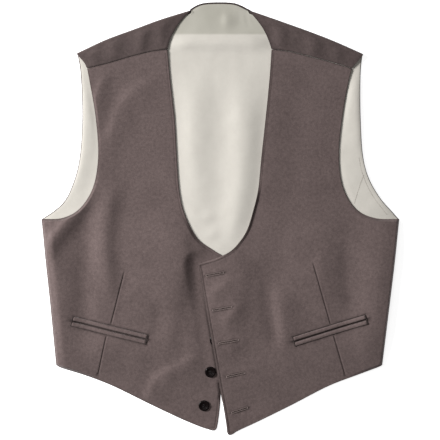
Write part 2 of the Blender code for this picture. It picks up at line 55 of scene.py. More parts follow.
# Cloth, from the table upward: back, back lining, fronts.
BACK_WALL = 1.2
LINING_WALL = 1.0
LINING_CLOTH = 0.6
FRONT_WALL = 1.8
GAP = 0.3
LINING_REST = BACK_WALL + GAP
FRONT_REST = LINING_REST + LINING_WALL + GAP

# Where the fronts reach past the back's hem, they sink to the table between these heights.
SINK_FROM = -196
SINK_TO = -290

# The back wraps over each shoulder in a round fold and ends at the forward shoulder seam.
FOLD_HEIGHT = 6.5
SEAM_HEIGHT = 5.2
NECK_FOLD_RADIUS = 1.8
SEAM_GAP = 0.35

# How far a front's cloth puffs up, and the runs from its edges over which it does.
CROWN = {"right": 2.2, "left": 2.4}
CROWN_SIDE_RUN = {"right": (0, 12), "left": (0, 3)}
CROWN_EDGE_RUN = 64
CROWN_INNER_RUN = {"right": 26, "left": 64}
CROWN_FADE = (-60, 50)

# Edges that stand up a little: the edge, how far, the run over which the cloth comes down, and the
# heights between which this sets in.
RAISED_EDGE = {
    "right": ("armhole", 3.0, 42, (-10, 90)),
    "left": ("neck", 2.4, 58, (-84, -10)),
}

# The runs over which a front comes down to the shoulder seam and its folds die out at an edge.
SEAM_RUN = 30
FOLD_EDGE_RUN = 4.5
# How softly a trough stops at the cloth's lowest level.
TROUGH_SOFTNESS = 0.5

# A front's side: a thick edge, then a roll, down to a foot on the table.
SIDE_ROLL = {"right": 15.0, "left": 25.0}
SIDE_ROLL_POWER = 1.25
SIDE_EDGE = 2.2
SIDE_EDGE_SHARE = {"right": 0.38, "left": 0.90}
SIDE_FOOT = 1.9
SIDE_FOOT_RISE = 0.5
SIDE_INNER_DROP = 0.4
SIDE_INSET = 0.8

# How the left front rides over the right one, and over the buttons under it.
LAP_CLEARANCE = 0.6
LAP_REACH = (4, 48)
LAP_FLAT_RUN = (0.5, 23)
BUTTON_REACH = (10, 46)

# Edges that run up the garment: height, distance on the right, distance on the left.
SIDE_SEAM = (
    (-219.3, 246.3, 243.8),
    (-121, 255.9, 256.0),
    (-60, 262.5, 263.3),
    (0, 268.2, 269.3),
)
FRONT_ARMHOLE = (
    (0, 268.2, 269.3),
    (1.5, 237.0, 232.5),
    (13.5, 213.0, 205.5),
    (43.5, 192.0, 186.0),
    (88.5, 183.0, 178.5),
    (148.5, 186.0, 183.0),
    (208.5, 196.0, 193.5),
    (226.0, 199.5, 198.0),
)
BACK_ARMHOLE = (
    (0, 267.2, 268.8),
    (13.5, 247.5, 256.5),
    (28.5, 232.5, 243.0),
    (58.5, 219.0, 225.0),
    (88.5, 211.5, 216.0),
    (148.5, 207.0, 211.5),
    (223.5, 210.0, 211.5),
    (244.5, 213.5, 213.5),
)
FRONT_EDGE = (
    (-309, 3.5, 9.4),
    (-282, 0.0, 5.1),
    (-261, -1.5, 0.9),
    (-195, -11.5, -10.3),
    (-122, -24.0, -23.3),
    (-67.5, -34.5, -32.5),
)
FRONT_NECK = (
    (-67.5, -34.5, -32.5),
    (-54.8, -3.8, 3.8),
    (-46.5, 10.5, 18.0),
    (-31.5, 31.5, 31.5),
    (-16.5, 42.0, 40.5),
    (13.5, 55.0, 50.0),
    (43.5, 61.0, 57.0),
    (88.5, 64.5, 61.5),
    (148.5, 68.0, 68.0),
    (208.5, 74.5, 74.0),
    (254.5, 78.8, 77.3),
)
STRIP_NECK = (
    (310.5, 43.8, 43.8),
    (301.5, 54.8, 53.0),
    (286.5, 66.0, 64.0),
    (271.5, 74.1, 71.5),
    (254.5, 78.8, 77.3),
)
STRIP_ARMHOLE = ((244.5, 213.8, 213.8), (234.8, 204.0, 205.0), (226.0, 199.5, 198.0))

# Edges that run across the garment: distance, height on the right, height on the left.
HEM = (
    (240.3, -222.8, -221.3),
    (228, -226.8, -226.1),
    (205, -233.9, -234.7),
    (165, -249.2, -250.1),
    (105, -278.5, -281.0),
    (52, -303.3, -307.0),
    (24, -314.4, -320.0),
)
SHOULDER_SEAM = (
    (199.5, 226.0, 225.0),
    (165, 234.6, 235.8),
    (134, 243.8, 243.8),
    (102, 251.5, 251.6),
    (78.8, 254.5, 254.0),
)
SHOULDER_FOLD = (
    (215, 248.9, 247.7),
    (171, 269.4, 267.2),
    (130.5, 284.4, 282.9),
    (90, 299.3, 297.4),
    (45, 313.5, 313.3),
)
TIP = {
    "right": ((17.5, -316.2), (12.5, -317.8), (9.0, -318.0), (5.4, -315.8)),
    "left": ((20.0, -322.9), (16.5, -324.4), (13.4, -324.5), (11.2, -321.8)),
}
BACK_HEM_HEIGHT = -216
BACK_HEM_DIP = 3
BACK_NECK = ((-45, 313.5), (-45.3, 314.6), (-42.5, 316.8), (-38, 319.7), (-31, 323.0),
             (-20.5, 325.2), (-4, 325.9), (11, 325.7), (22, 324.5), (31.5, 321.2), (38, 317.8),
             (42.5, 315.5), (45.3, 314.2), (45, 313.3))

# Creases of the fronts, as points in the plain X, Y of the frame. A crease has its own width on
# the left and on the right of the way it runs, and a trough has a negative lift.
CREASES = {
    "right": (
        # points, width to the left, width to the right, lift
        (((-300, -86), (-253, -33), (-238, -14), (-220, 7), (-203, 31), (-172, 62)), 9, 16, 7.0),
        (((-134, 70), (-158, 44), (-170, 10), (-173, -45), (-167, -96), (-156, -146)), 16, 17, 6.1),
        (((-266, 60), (-263, -30), (-260, -90), (-256, -150), (-238, -320)), 42, 14, 7.4),
        (((-202, 30), (-200, -50), (-202, -120), (-196, -210)), 14, 18, -2.6),
        (((-50, 10), (-55, -34), (-57, -72), (-62, -94), (-66, -124), (-74, -152), (-91, -244)),
         17, 56, 2.4),
        (((-56, 14), (-60, -34), (-66, -76), (-82, -150)), 30, 96, 5.2),
        (((-200, 126), (-168, 122), (-151, 160), (-136, 184), (-113, 200), (-76, 210)), 9, 26, 2.9),
        (((-192, 120), (-187, 168), (-180, 196), (-168, 236)), 6, 14, 2.3),
        (((-150, -104), (-132, -122), (-126, -160)), 26, 20, 2.0),
        (((-206, -180), (-150, -190), (-94, -210)), 8, 34, 2.4),
        (((-112, -284), (-100, -250), (-90, -238), (-62, -232)), 8, 22, 3.2),
        (((-92, -232), (-60, -221), (-28, -202)), 7, 18, 2.5),
        (((-96, -116), (-92, -150), (-102, -190)), 14, 10, -1.6),
        (((-140, -146), (-162, -185), (-176, -218), (-184, -254)), 24, 60, 2.2),
        (((-34, -24), (-27, -60), (-26, -96)), 9, 9, 1.2),
    ),
    "left": (
        (((252, 70), (247, -60), (240, -130), (228, -270)), 44, 38, 7.2),
        (((191, -14), (193, -60), (195, -104), (200, -156)), 26, 14, -2.7),
        (((150, 20), (154, -50), (160, -110), (166, -160)), 18, 30, 1.6),
        (((45, 62), (50, 26), (62, -40), (69, -90), (73, -130)), 28, 9, -2.6),
        (((38, 72), (46, 30), (58, -30), (66, -90), (70, -135)), 70, 40, -1.8),
        (((70, -92), (75, -128), (80, -160), (86, -200)), 8, 12, -3.0),
        (((94, -96), (94, -150), (106, -214)), 18, 12, 2.4),
        (((146, -50), (152, -74), (158, -96)), 8, 8, 1.0),
        (((30, 54), (105, 50), (196, 56)), 22, 16, 1.3),
        (((-22, -122), (-4, -108), (20, -88)), 8, 14, 2.2),
        (((-2, -158), (14, -146), (32, -124)), 7, 11, 1.8),
        (((-28, -66), (-8, -60), (10, -64)), 8, 8, 1.2),
        (((6, -196), (24, -188), (44, -176)), 8, 10, 1.2),
    ),
}
LINING_CREASES = (
    (((-206, 236), (-202, 150), (-206, 92), (-213, 62), (-226, 32), (-244, 12)), 15, 6, 2.0),
    (((207, 236), (207, 150), (210, 100), (213, 76)), 6, 20, 3.0),
    (((209, 112), (216, 84), (225, 58), (243, 29), (268, -6)), 5, 34, 2.3),
    (((-130, 262), (0, 263), (130, 262)), 12, 7, 3.7),
    (((-38, 240), (-38, 120), (-34, -10)), 26, 24, 2.7),
    (((33, 240), (34, 90), (20, -70)), 34, 22, 4.1),
    (((34, 312), (36, 292)), 4, 4, 0.8),
    (((46, 306), (47, 290)), 4, 4, 0.7),
    (((9, 336), (10, 286)), 12, 6, 3.4),
    (((24, 318), (26, 298)), 5, 5, 0.7),
    (((-54, 20), (-32, 2), (-2, 6)), 7, 7, 1.4),
    (((-50, -8), (-28, -24), (4, -22)), 7, 6, 1.5),
    (((-30, -34), (-14, -44), (10, -44)), 6, 6, 1.3),
)

# The run over which the lining lies free inside the neck, and how far it sinks at its sides and
# at the corners of the neck: the depth, and for a corner its width.
LINING_RUN = 30
LINING_SIDE_DROP = 0.55
LINING_CORNER_DROP = (0.5, 16)

# The lining's stitched seams that show in the left armhole, and the length of a stitch.
LINING_SEAMS = (
    ((215.5, 66), (211, 54), (206.5, 40), (201.5, 23)),
    ((208.5, 92), (212, 74), (219, 54), (229.5, 34), (241, 18.5), (251, 6)),
)
LINING_STITCH = 2.6
# How high the painted shade at the top of the lining's neck opening begins, in metres.
SHADED_TOP_LINE = 0.2795
# How far the lining stays inside the back's edges.
LINING_INSET = {"side": 12, "hem": 12, "armhole": 1.3, "neck": 3.0, "fold": 3.0}

# Where a dart starts at its top, meets the pocket, leaves it again and ends, as plain X, Y.
DARTS = {
    "right": (((-142.5, -76.5), (-163.8, -159)), ((-169.7, -173.4), (-182.6, -232.5))),
    "left": (((138.5, -63), (166, -159)), ((170, -173.4), (187.4, -233))),
}
POCKETS = {
    # outer end, inner end: distance from the centre line, height
    "right": ((221, -153.0), (110, -180.5)),
    "left": ((218.5, -150.5), (111, -184.0)),
}
WELT_WIDTH = 5.9
WELT_PARTING = 2.4
WELT_RISE = 1.5
WELT_SINK = 0.55
WELT_END_RUN = 1.6
WELT_GRID = (73, 15)

# Waves that no crease makes: wavelength, seed and how high.
CLOTH_WAVES = ((52, 3.1, 0.45), (24, 8.4, 0.3))
LINING_WAVES = ((45, 6.3, 0.5), (17, 4.1, 0.25))
STRIP_WAVES = ((21, 1.7, 0.4),)
HOLE_WAVES = ((7, 2.2, 0.8),)

# The stitches along a front's edges, and the grooves that they pull in.
STITCH_INSET = 3.8
STITCH_LENGTH = 2.2
STITCH_PARTING = 0.7
STITCH_LIFT = 0.05
GROOVE_WIDTH = 0.95
GROOVE_DEPTH = {"front": 0.45, "neck": 0.15}
LAP_TOP_GROOVE = 0.5
LAP_TOP_RUN = (12, 2)

# Patches where stitches pull more or less, and where the painted shade round a pocket is stronger
# or weaker: level, swing, wavelength and seed.
PUCKER = (0.6, 0.8, 7, 5.5)
RIM_SHADE_PATCHES = (0.8, 0.5, 9, 7.7)

# What sewing adds to a front's face: its height, or depth where negative, and its width.
DART_GROOVE = (-0.85, 0.85)
DART_RIDGE = (0.25, 1.8)
DART_RIDGE_AWAY = 2.6
DART_TIP_RUN = 10
TRAY_DEPTH = 0.55
TRAY_SLOPE = (0.2, 0.9)
TRAY_RIM = (0.35, 0.9)
SLIT_GROOVE = (-0.9, 1.0)
LAP_SHADOW_GROOVE = (-0.5, 2.2)
LAP_SHADOW_TOP = (-100, -160)
LAP_SHADOW_FOOT = (-264, -244)
HOLE_LIP = (0.35, 2.6)
HOLE_GROOVE = (-0.9, 0.6)
HOLE_WAVES_AWAY = 3
HOLE_WAVES_WIDTH = 5

# Painted shade: darker colour that stands for the shade in grooves, seams and recesses, along edges
# and beside the lap: how much, and how wide.
DART_PAINTED_SHADE = (1.05, 0.95)
SLIT_PAINTED_SHADE = (1.35, 1.7)
TRAY_PAINTED_SHADE = (1.15, 1.35)
TRAY_PAINTED_SHADE_AWAY = 0.5
LAP_PAINTED_SHADOW = (1.1, 1.6)
HOLE_PAINTED_SHADE = (1.2, 0.65)
HOLE_EDGING_PAINTED_SHADE = (0.95, 0.6)
HOLE_EDGING_AWAY = 2.5
LEFT_NECK_PAINTED_SHADE = (1.2, 1.9)
EDGE_PAINTED_SHADE_WIDTH = 1.3
EDGE_PAINTED_SHADE = {
    "right": {"armhole": 0.85, "hem": 0.85, "neck": 0.3, "seam": 0.85},
    "left": {"front": 1.2, "seam": 0.85},
}
NECK_RIM_PAINTED_SHADE = (0.95, 2.9)
SHOULDER_SEAM_PAINTED_SHADE = (1.0, 1.3)

# Threads: a bar across a pocket's end, and the stitches round a buttonhole.
TACK_HEIGHT = 14.5
TACK_WIDTH = 1.5
TACK_PITCH = 0.42
TACK_BEYOND = 0.3
TACK_LIFT = 0.45
HOLE_PITCH = 0.62
HOLE_STITCH = (0.6, 1.75)
HOLE_FAN = (0.35, 1.85)
HOLE_FAN_STEPS = 8
HOLE_STITCH_SINK = 0.1
HOLE_STITCH_LIFT = 0.12
THREAD_SIDES = 6
THREAD_SHARES = (0.0, 0.15, 0.5, 0.85, 1.0)
THREAD_SWELLS = (0.35, 0.85, 1.0, 0.85, 0.35)

# The far ends of each buttonhole, from the top.
BUTTONHOLES = (
    ((-19.8, -84.8), (4.5, -80.4)),
    ((-9.8, -136.6), (16.8, -132.0)),
    ((-1.0, -186.0), (27.2, -181.2)),
    ((10.8, -236.3), (36.8, -230.6)),
    ((18.5, -290.8), (41.0, -283.6)),
)
BUTTON_CENTRES = ((12.0, -81.5), (3.4, -132.0), (-7.2, -182.0), (-14.5, -229.5), (-24.0, -280.2))
BUTTONS_UNDER_LAP = 3
BUTTON_RADIUS = 8.2
BUTTON_THICKNESS = 2.3
BUTTON_LIFT = 0.25
BUTTON_TURNS = (17, -8, 5, 12, -14)
# A button's turned section, from the middle of its top round to the middle of its underside.
BUTTON_PROFILE = (
    (0.0, 1.45), (2.6, 1.45), (4.3, 1.5), (5.0, 1.72), (5.5, 2.08), (6.0, 2.27),
    (6.6, 2.3), (7.2, 2.2), (7.75, 1.9), (8.08, 1.5), (8.2, 1.1), (8.05, 0.7),
    (7.6, 0.35), (6.6, 0.1), (5.5, 0.0), (0.0, 0.0),
)
BUTTON_SIDES = 64
HOLES = 4
HOLE_SIDES = 20
HOLE_RADIUS = 0.95
HOLE_SPREAD = 1.75
BUTTON_STRANDS = (-0.42, 0, 0.42)
BUTTON_THREAD_HEIGHT = 1.4

# The back and its lining: rows below and above the underarm, and columns over the right
# shoulder, the neck and the left shoulder.
BACK_ROWS = (14, 36)
BACK_COLUMNS = (26, 60, 26)
LINING_ROWS = (22, 104)
LINING_COLUMNS = (32, 44, 32)
ARC_STEPS = 12
STRIP_ROWS = 20
RELAX_ROUNDS = 500

# Soft ripples across the shoulder strips.
STRIP_CREASES = (
    (((-114, 312), (-117, 275), (-120, 236)), 8, 10, 2.6),
    (((-86, 322), (-88, 285), (-88, 244)), 9, 9, 1.6),
    (((-158, 296), (-160, 262), (-160, 226)), 12, 11, 2.4),
    (((-190, 284), (-190, 255), (-188, 222)), 9, 8, 1.6),
    (((62, 330), (60, 290), (64, 246)), 9, 8, 2.2),
    (((92, 320), (90, 280), (92, 240)), 10, 8, 2.4),
    (((142, 300), (140, 262), (140, 226)), 12, 9, 2.6),
    (((178, 290), (176, 258), (174, 220)), 9, 9, 1.6),
)

# Mesh fineness, with the distance in metres at which points are joined.
OUTLINE_SPACING = 2.4
TOP_ROWS = (0.14, 0.38, 0.75, 1.2, 1.8, 2.4, 3.0, 3.4, 3.8, 4.2, 4.8, 5.4, 6.0, 6.6, 7.6, 9.2)
UNDER_ROWS = (0.3, 0.9, 2.5, 5.0)
SEWN_ROWS = (0.0, 0.45, 0.9, 1.5, 2.2, 3.0, 4.0)
FILL_SPACING = 2.7
UNDER_SPACING = 8.0
EDGE_RADIUS = 0.9
WELD_DISTANCE = 0.00001

# The picture: how much of the table it spans and where the camera and the table's edge are, in
# metres, and the lens in millimetres.
PICTURE_SPAN = 0.66
LENS = 100
SENSOR_WIDTH = 36
CAMERA_SHIFT = -0.0015
CAMERA_RISE = 0.005
FLOOR_HALF = 3.0
FLOOR_DROP = 0.0005


def smoothstep(low, high, value):
    """A soft step from 0 at low to 1 at high."""
    share = np.clip((value - low) / (high - low), 0, 1)
    return share * share * (3 - 2 * share)


def bell(distance, width):
    """A soft bump of height 1 over a line, at a distance from it."""
    return np.exp(-(distance / width) ** 2)


def ridge(distance, height, width):
    """A soft ridge over a line, or a groove where the height is negative."""
    return height * bell(distance, width)


def quarter_turned(ways):
    """Directions turned a quarter to the left."""
    return np.stack([-ways[..., 1], ways[..., 0]], axis=-1)


def run_lengths(points):
    """The length of each straight run of a chain."""
    return np.linalg.norm(np.diff(points, axis=0), axis=1)


def upright(table, side):
    """The points of an edge that runs up the garment."""
    column = 1 + SIDES.index(side)
    return np.array([(OUTWARD[side] * row[column], row[0]) for row in table], float)


def level(table, side):
    """The points of an edge that runs across the garment."""
    column = 1 + SIDES.index(side)
    return np.array([(OUTWARD[side] * row[0], row[column]) for row in table], float)


def placed(pair, side):
    """The point at a distance from the centre line and a height."""
    return np.array([OUTWARD[side] * pair[0], pair[1]], float)


def even_steps(points, count):
    """count + 1 points, evenly spaced along a chain of straight runs."""
    lengths = np.concatenate([[0], np.cumsum(run_lengths(points))])
    wanted = np.linspace(0, lengths[-1], count + 1)
    return np.stack([np.interp(wanted, lengths, points[:, axis]) for axis in range(2)], axis=1)


def smooth_chain(points, fineness=24):
    """A dense chain of points along a smooth curve through the given ones."""
    points = np.asarray(points, float)
    spans = np.sqrt(run_lengths(points))
    rates = np.diff(points, axis=0) / spans[:, None]
    slopes = [rates[0]]
    for before, after, rate, following in zip(spans, spans[1:], rates, rates[1:]):
        slopes.append((rate * after + following * before) / (before + after))
    slopes.append(rates[-1])
    dense = [points[:1]]
    t = (np.arange(1, fineness + 1) / fineness)[:, None]
    for index, span in enumerate(spans):
        leave = slopes[index] * span
        arrive = slopes[index + 1] * span
        dense.append(points[index] * (2 * t ** 3 - 3 * t ** 2 + 1)
                     + leave * (t ** 3 - 2 * t ** 2 + t)
                     + points[index + 1] * (3 * t ** 2 - 2 * t ** 3)
                     + arrive * (t ** 3 - t ** 2))
    return np.vstack(dense)


def smooth_curve(points, spacing):
    """Points about one spacing apart along a smooth curve through the given ones."""
    dense = smooth_chain(points)
    return even_steps(dense, max(1, round(run_lengths(dense).sum() / spacing)))


def curve_of(points, count):
    """count + 1 points, evenly spaced along a smooth curve through the given ones."""
    return even_steps(smooth_chain(points), count)


class Line:
    """A chain of straight runs that many places are measured from at once."""

    def __init__(self, points, closed=False):
        points = np.asarray(points, float)
        if closed:
            points = np.vstack([points, points[:1]])
        self.points = points
        self.runs = np.diff(points, axis=0)
        self.lengths = np.linalg.norm(self.runs, axis=1)
        self.before = np.concatenate([[0], np.cumsum(self.lengths)])
        self.total = self.before[-1]

    def nearest(self, places):
        """Distance, length along the line, and side (1 is left of the line, -1 right)."""
        distance = np.full(len(places), np.inf)
        along = np.zeros(len(places))
        sense = np.zeros(len(places))
        for start, run, length, before in zip(self.points, self.runs, self.lengths, self.before):
            away = places - start
            share = np.clip(away @ run / length ** 2, 0, 1)
            gap = away - share[:, None] * run
            span = np.hypot(gap[:, 0], gap[:, 1])
            closer = span < distance
            distance[closer] = span[closer]
            along[closer] = before + share[closer] * length
            turn = run[0] * away[:, 1] - run[1] * away[:, 0]
            sense[closer] = np.where(turn[closer] < 0, -1, 1)
        return distance, along, sense

    def distance(self, places):
        """How far each place is from the line."""
        return self.nearest(places)[0]


def is_inside(places, ring):
    """Whether a closed ring of points goes round each place."""
    inside = np.zeros(len(places), bool)
    x, y = places[:, 0], places[:, 1]
    for start, end in zip(ring, np.roll(ring, -1, axis=0)):
        if start[1] == end[1]:
            continue
        spans = (start[1] > y) != (end[1] > y)
        crossing = start[0] + (end[0] - start[0]) * (y - start[1]) / (end[1] - start[1])
        inside ^= spans & (crossing > x)
    return inside


def unevenness(places, wavelength, seed):
    """Soft irregular waves, mostly between -0.6 and 0.6."""
    return np.array([noise.noise((x / wavelength, y / wavelength, seed)) for x, y in places])


def patches(places, level, swing, wavelength, seed):
    """A share that varies softly from place to place."""
    return level + swing * unevenness(places, wavelength, seed)


def waves(places, table):
    """Several sets of irregular waves together."""
    return sum(height * unevenness(places, wavelength, seed) for wavelength, seed, height in table)


def crease_lift(places, creases):
    """The height that the listed creases add, each fading towards its two ends."""
    lift = np.zeros(len(places))
    for line, left, right, height in creases:
        distance, along, sense = line.nearest(places)
        width = np.where(sense > 0, left, right)
        share = along / line.total
        fade = smoothstep(0, 0.32, np.minimum(share, 1 - share))
        lift += height * fade * bell(distance, width)
    return lift


def crease_lines(table):
    """The creases of a table, each with a smooth line to measure from."""
    return [(Line(smooth_curve(points, 4)), left, right, height)
            for points, left, right, height in table]


def side_foot(places):
    """How high a front's edge lies along the side, higher under the arm to clear the lining."""
    return SIDE_FOOT + SIDE_FOOT_RISE * smoothstep(-26, -6, places[:, 1])


def rounded_drop(rest):
    """How far the round of a front's outline takes its face down, at a distance inside it."""
    inner = np.clip(EDGE_RADIUS - rest, 0, EDGE_RADIUS)
    return EDGE_RADIUS - np.sqrt(EDGE_RADIUS ** 2 - inner ** 2)


class Front:
    """One front: its outline, and the height of its cloth at any place inside."""

    def __init__(self, side):
        self.side = side
        corner = upright(SIDE_SEAM, side)[:1]
        tip = np.array([placed(pair, side) for pair in TIP[side]])
        neck_end = upright(FRONT_NECK, side)[-1:]
        arm_end = upright(FRONT_ARMHOLE, side)[-1:]
        seam = np.vstack([neck_end, level(SHOULDER_SEAM, side)[-2:0:-1], arm_end])
        chains = {
            "hem": np.vstack([corner, level(HEM, side), tip[:2]]),
            "front": np.vstack([tip[1:], upright(FRONT_EDGE, side)]),
            "neck": upright(FRONT_NECK, side),
            "seam": seam,
            "armhole": upright(FRONT_ARMHOLE, side)[::-1],
            "side": upright(SIDE_SEAM, side)[::-1],
        }
        curves = {name: smooth_curve(points, OUTLINE_SPACING) for name, points in chains.items()}
        self.edges = {name: Line(points) for name, points in curves.items()}
        self.ring = np.vstack([points[:-1] for points in curves.values()])
        self.outline = Line(self.ring, closed=True)
        self.creases = crease_lines(CREASES[side])
        self.darts = [Line(smooth_curve(points, 3)) for points in DARTS[side]]
        self.slit = Line(even_steps(np.array([placed(end, side) for end in POCKETS[side]]), 40))
        self.buttonholes = []
        if side == "left":
            self.buttonholes = [Line(even_steps(np.array(ends), 10)) for ends in BUTTONHOLES]
        self.other = None

    def outside(self, places):
        """How far each place lies outside this front, and 0 within it."""
        return np.where(is_inside(places, self.ring), 0, self.outline.distance(places))

    def raised(self, places):
        """How far the left front is lifted by the right one and by the buttons under it."""
        over_front = 1 - smoothstep(*LAP_REACH, self.other.outside(places))
        hidden = Line(np.array(BUTTON_CENTRES[:BUTTONS_UNDER_LAP]))
        over_button = 1 - smoothstep(*BUTTON_REACH, hidden.distance(places))
        return ((FRONT_WALL + LAP_CLEARANCE) * over_front
                + (BUTTON_THICKNESS + LAP_CLEARANCE) * over_button)

    def broad_height(self, places):
        """The height of the outer face with its crown and creases, without its sewing."""
        gaps = {name: line.distance(places) for name, line in self.edges.items()}
        from_free_edge = np.minimum.reduce([gaps[name] for name in FREE_EDGES])
        from_side = gaps["side"]
        crown = CROWN[self.side] * smoothstep(*CROWN_SIDE_RUN[self.side], from_side)
        crown *= 1 - smoothstep(*CROWN_FADE, places[:, 1])
        inner_run = CROWN_INNER_RUN[self.side]
        for name in ("hem", "front", "armhole"):
            crown *= smoothstep(0, CROWN_EDGE_RUN, gaps[name])
        crown *= smoothstep(0, inner_run, gaps["neck"])
        if self.side == "right":
            crown *= smoothstep(0, inner_run, self.other.outside(places))
        edge_fade = smoothstep(0, FOLD_EDGE_RUN, from_free_edge)
        side_fade = smoothstep(0, FOLD_EDGE_RUN, from_side)
        total = crown + crease_lift(places, self.creases) * edge_fade * side_fade
        total += edge_fade * waves(places, CLOTH_WAVES)
        edge, lift, run, start = RAISED_EDGE[self.side]
        total += lift * (1 - smoothstep(0, run, gaps[edge])) * smoothstep(*start, places[:, 1])
        free = (total + np.hypot(total, TROUGH_SOFTNESS) - TROUGH_SOFTNESS) / 2
        if self.side == "right":
            free *= smoothstep(*LAP_FLAT_RUN, self.other.outside(places))
        held = 1 - smoothstep(0, SEAM_RUN, gaps["seam"])
        seam_lift = SEAM_HEIGHT - FRONT_REST - FRONT_WALL
        support = FRONT_REST * smoothstep(SINK_TO, SINK_FROM, places[:, 1])
        height = support + FRONT_WALL + free * (1 - held) + seam_lift * held
        if self.side == "left":
            height += self.raised(places)
        return height, gaps

    def sewing_relief(self, places, gaps):
        """What edge stitching, darts, pocket and buttonholes add, and the painted shade in their
        grooves, along the edges and beside the lap.
        """
        relief = np.zeros(len(places))
        pinch = np.zeros(len(places))
        pucker = patches(places, *PUCKER)
        lap_top = smoothstep(*LAP_TOP_RUN, places[:, 0]) if self.side == "left" else 0
        deeper = {"front": 0, "neck": LAP_TOP_GROOVE * lap_top}
        for name, base_depth in GROOVE_DEPTH.items():
            depth = base_depth + deeper[name]
            groove = bell(gaps[name] - STITCH_INSET, GROOVE_WIDTH)
            swell = bell(gaps[name] - STITCH_INSET * 0.5, STITCH_INSET * 0.3)
            relief += depth * (0.6 * swell - groove * pucker)
            pinch = np.maximum(pinch, groove * depth)
        for name, share in EDGE_PAINTED_SHADE[self.side].items():
            pinch = np.maximum(pinch, ridge(gaps[name], share, EDGE_PAINTED_SHADE_WIDTH))
        if self.side == "left":
            pinch = np.maximum(pinch, (1 - lap_top) * ridge(gaps["neck"], *LEFT_NECK_PAINTED_SHADE))
        for number, dart in enumerate(self.darts):
            across, along, sense = dart.nearest(places)
            across = across * sense
            tip = smoothstep(0, DART_TIP_RUN, along) if number == 0 else 1
            relief += tip * (ridge(across, *DART_GROOVE)
                             + ridge(across - DART_RIDGE_AWAY, *DART_RIDGE))
            pinch = np.maximum(pinch, tip * ridge(across, *DART_PAINTED_SHADE))
        distance = self.slit.distance(places)
        tray_half = WELT_PARTING / 2 + WELT_WIDTH
        tray = 1 - smoothstep(tray_half - TRAY_SLOPE[0], tray_half + TRAY_SLOPE[1], distance)
        relief -= TRAY_DEPTH * tray + ridge(distance - tray_half, *TRAY_RIM)
        relief += ridge(distance, *SLIT_GROOVE)
        rim = patches(places, *RIM_SHADE_PATCHES) * ridge(distance - tray_half - TRAY_PAINTED_SHADE_AWAY, *TRAY_PAINTED_SHADE)
        pinch = np.maximum(pinch, np.maximum(rim, ridge(distance, *SLIT_PAINTED_SHADE)))
        if self.side == "right":
            under_lap = self.other.edges["front"].distance(places)
            low = smoothstep(*LAP_SHADOW_TOP, places[:, 1])
            low *= smoothstep(*LAP_SHADOW_FOOT, places[:, 1])
            relief += low * ridge(under_lap, *LAP_SHADOW_GROOVE)
            pinch = np.maximum(pinch, low * ridge(under_lap - 0.2, *LAP_PAINTED_SHADOW))
        for hole in self.buttonholes:
            distance = hole.distance(places)
            relief += ridge(distance, *HOLE_LIP) + ridge(distance, *HOLE_GROOVE)
            relief += waves(places, HOLE_WAVES) * bell(distance - HOLE_WAVES_AWAY, HOLE_WAVES_WIDTH)
            edging = ridge(distance - HOLE_EDGING_AWAY, *HOLE_EDGING_PAINTED_SHADE)
            pinch = np.maximum(pinch, np.maximum(ridge(distance, *HOLE_PAINTED_SHADE), edging))
        return relief, pinch

    def surface(self, places):
        """The height of the finished outer face, and its painted shade."""
        height, gaps = self.broad_height(places)
        relief, pinch = self.sewing_relief(places, gaps)
        rest = self.outline.distance(places)
        height += relief * smoothstep(0, 1.2, rest)
        height -= rounded_drop(rest)
        height -= self.side_sag(gaps["side"]) * (height - side_foot(places))
        return height, pinch

    def side_sag(self, from_side):
        """How much of its height the cloth loses towards the side seam."""
        edge = np.clip(1 - from_side / SIDE_EDGE, 0, 1)
        roll = np.clip(1 - from_side / SIDE_ROLL[self.side], 0, 1)
        share = SIDE_EDGE_SHARE[self.side]
        return share * (1 - np.sqrt(1 - edge ** 2)) + (1 - share) * roll ** SIDE_ROLL_POWER

    def underside(self, places):
        """The height of the inner face."""
        height, gaps = self.broad_height(places)
        height += rounded_drop(self.outline.distance(places)) - FRONT_WALL
        foot = side_foot(places) - SIDE_INNER_DROP * smoothstep(0, 0.6, gaps["side"])
        return height - self.side_sag(gaps["side"]) * (height - foot)


def inward_normals(ring):
    """A unit vector into the ring at each of its points."""
    ahead = np.roll(ring, -1, axis=0) - np.roll(ring, 1, axis=0)
    normals = quarter_turned(ahead)
    normals /= np.linalg.norm(normals, axis=1)[:, None]
    x, y = ring[:, 0], ring[:, 1]
    area = np.sum(x * np.roll(y, -1) - np.roll(x, -1) * y)
    return normals if area > 0 else -normals


def line_rows(line, offsets):
    """Rows of points that run beside a line, on both sides of it."""
    ahead = np.gradient(line.points, axis=0)
    across = quarter_turned(ahead)
    across /= np.linalg.norm(across, axis=1)[:, None]
    rows = []
    for offset in offsets:
        rows.append(line.points + across * offset)
        if offset:
            rows.append(line.points - across * offset)
    return np.vstack(rows)


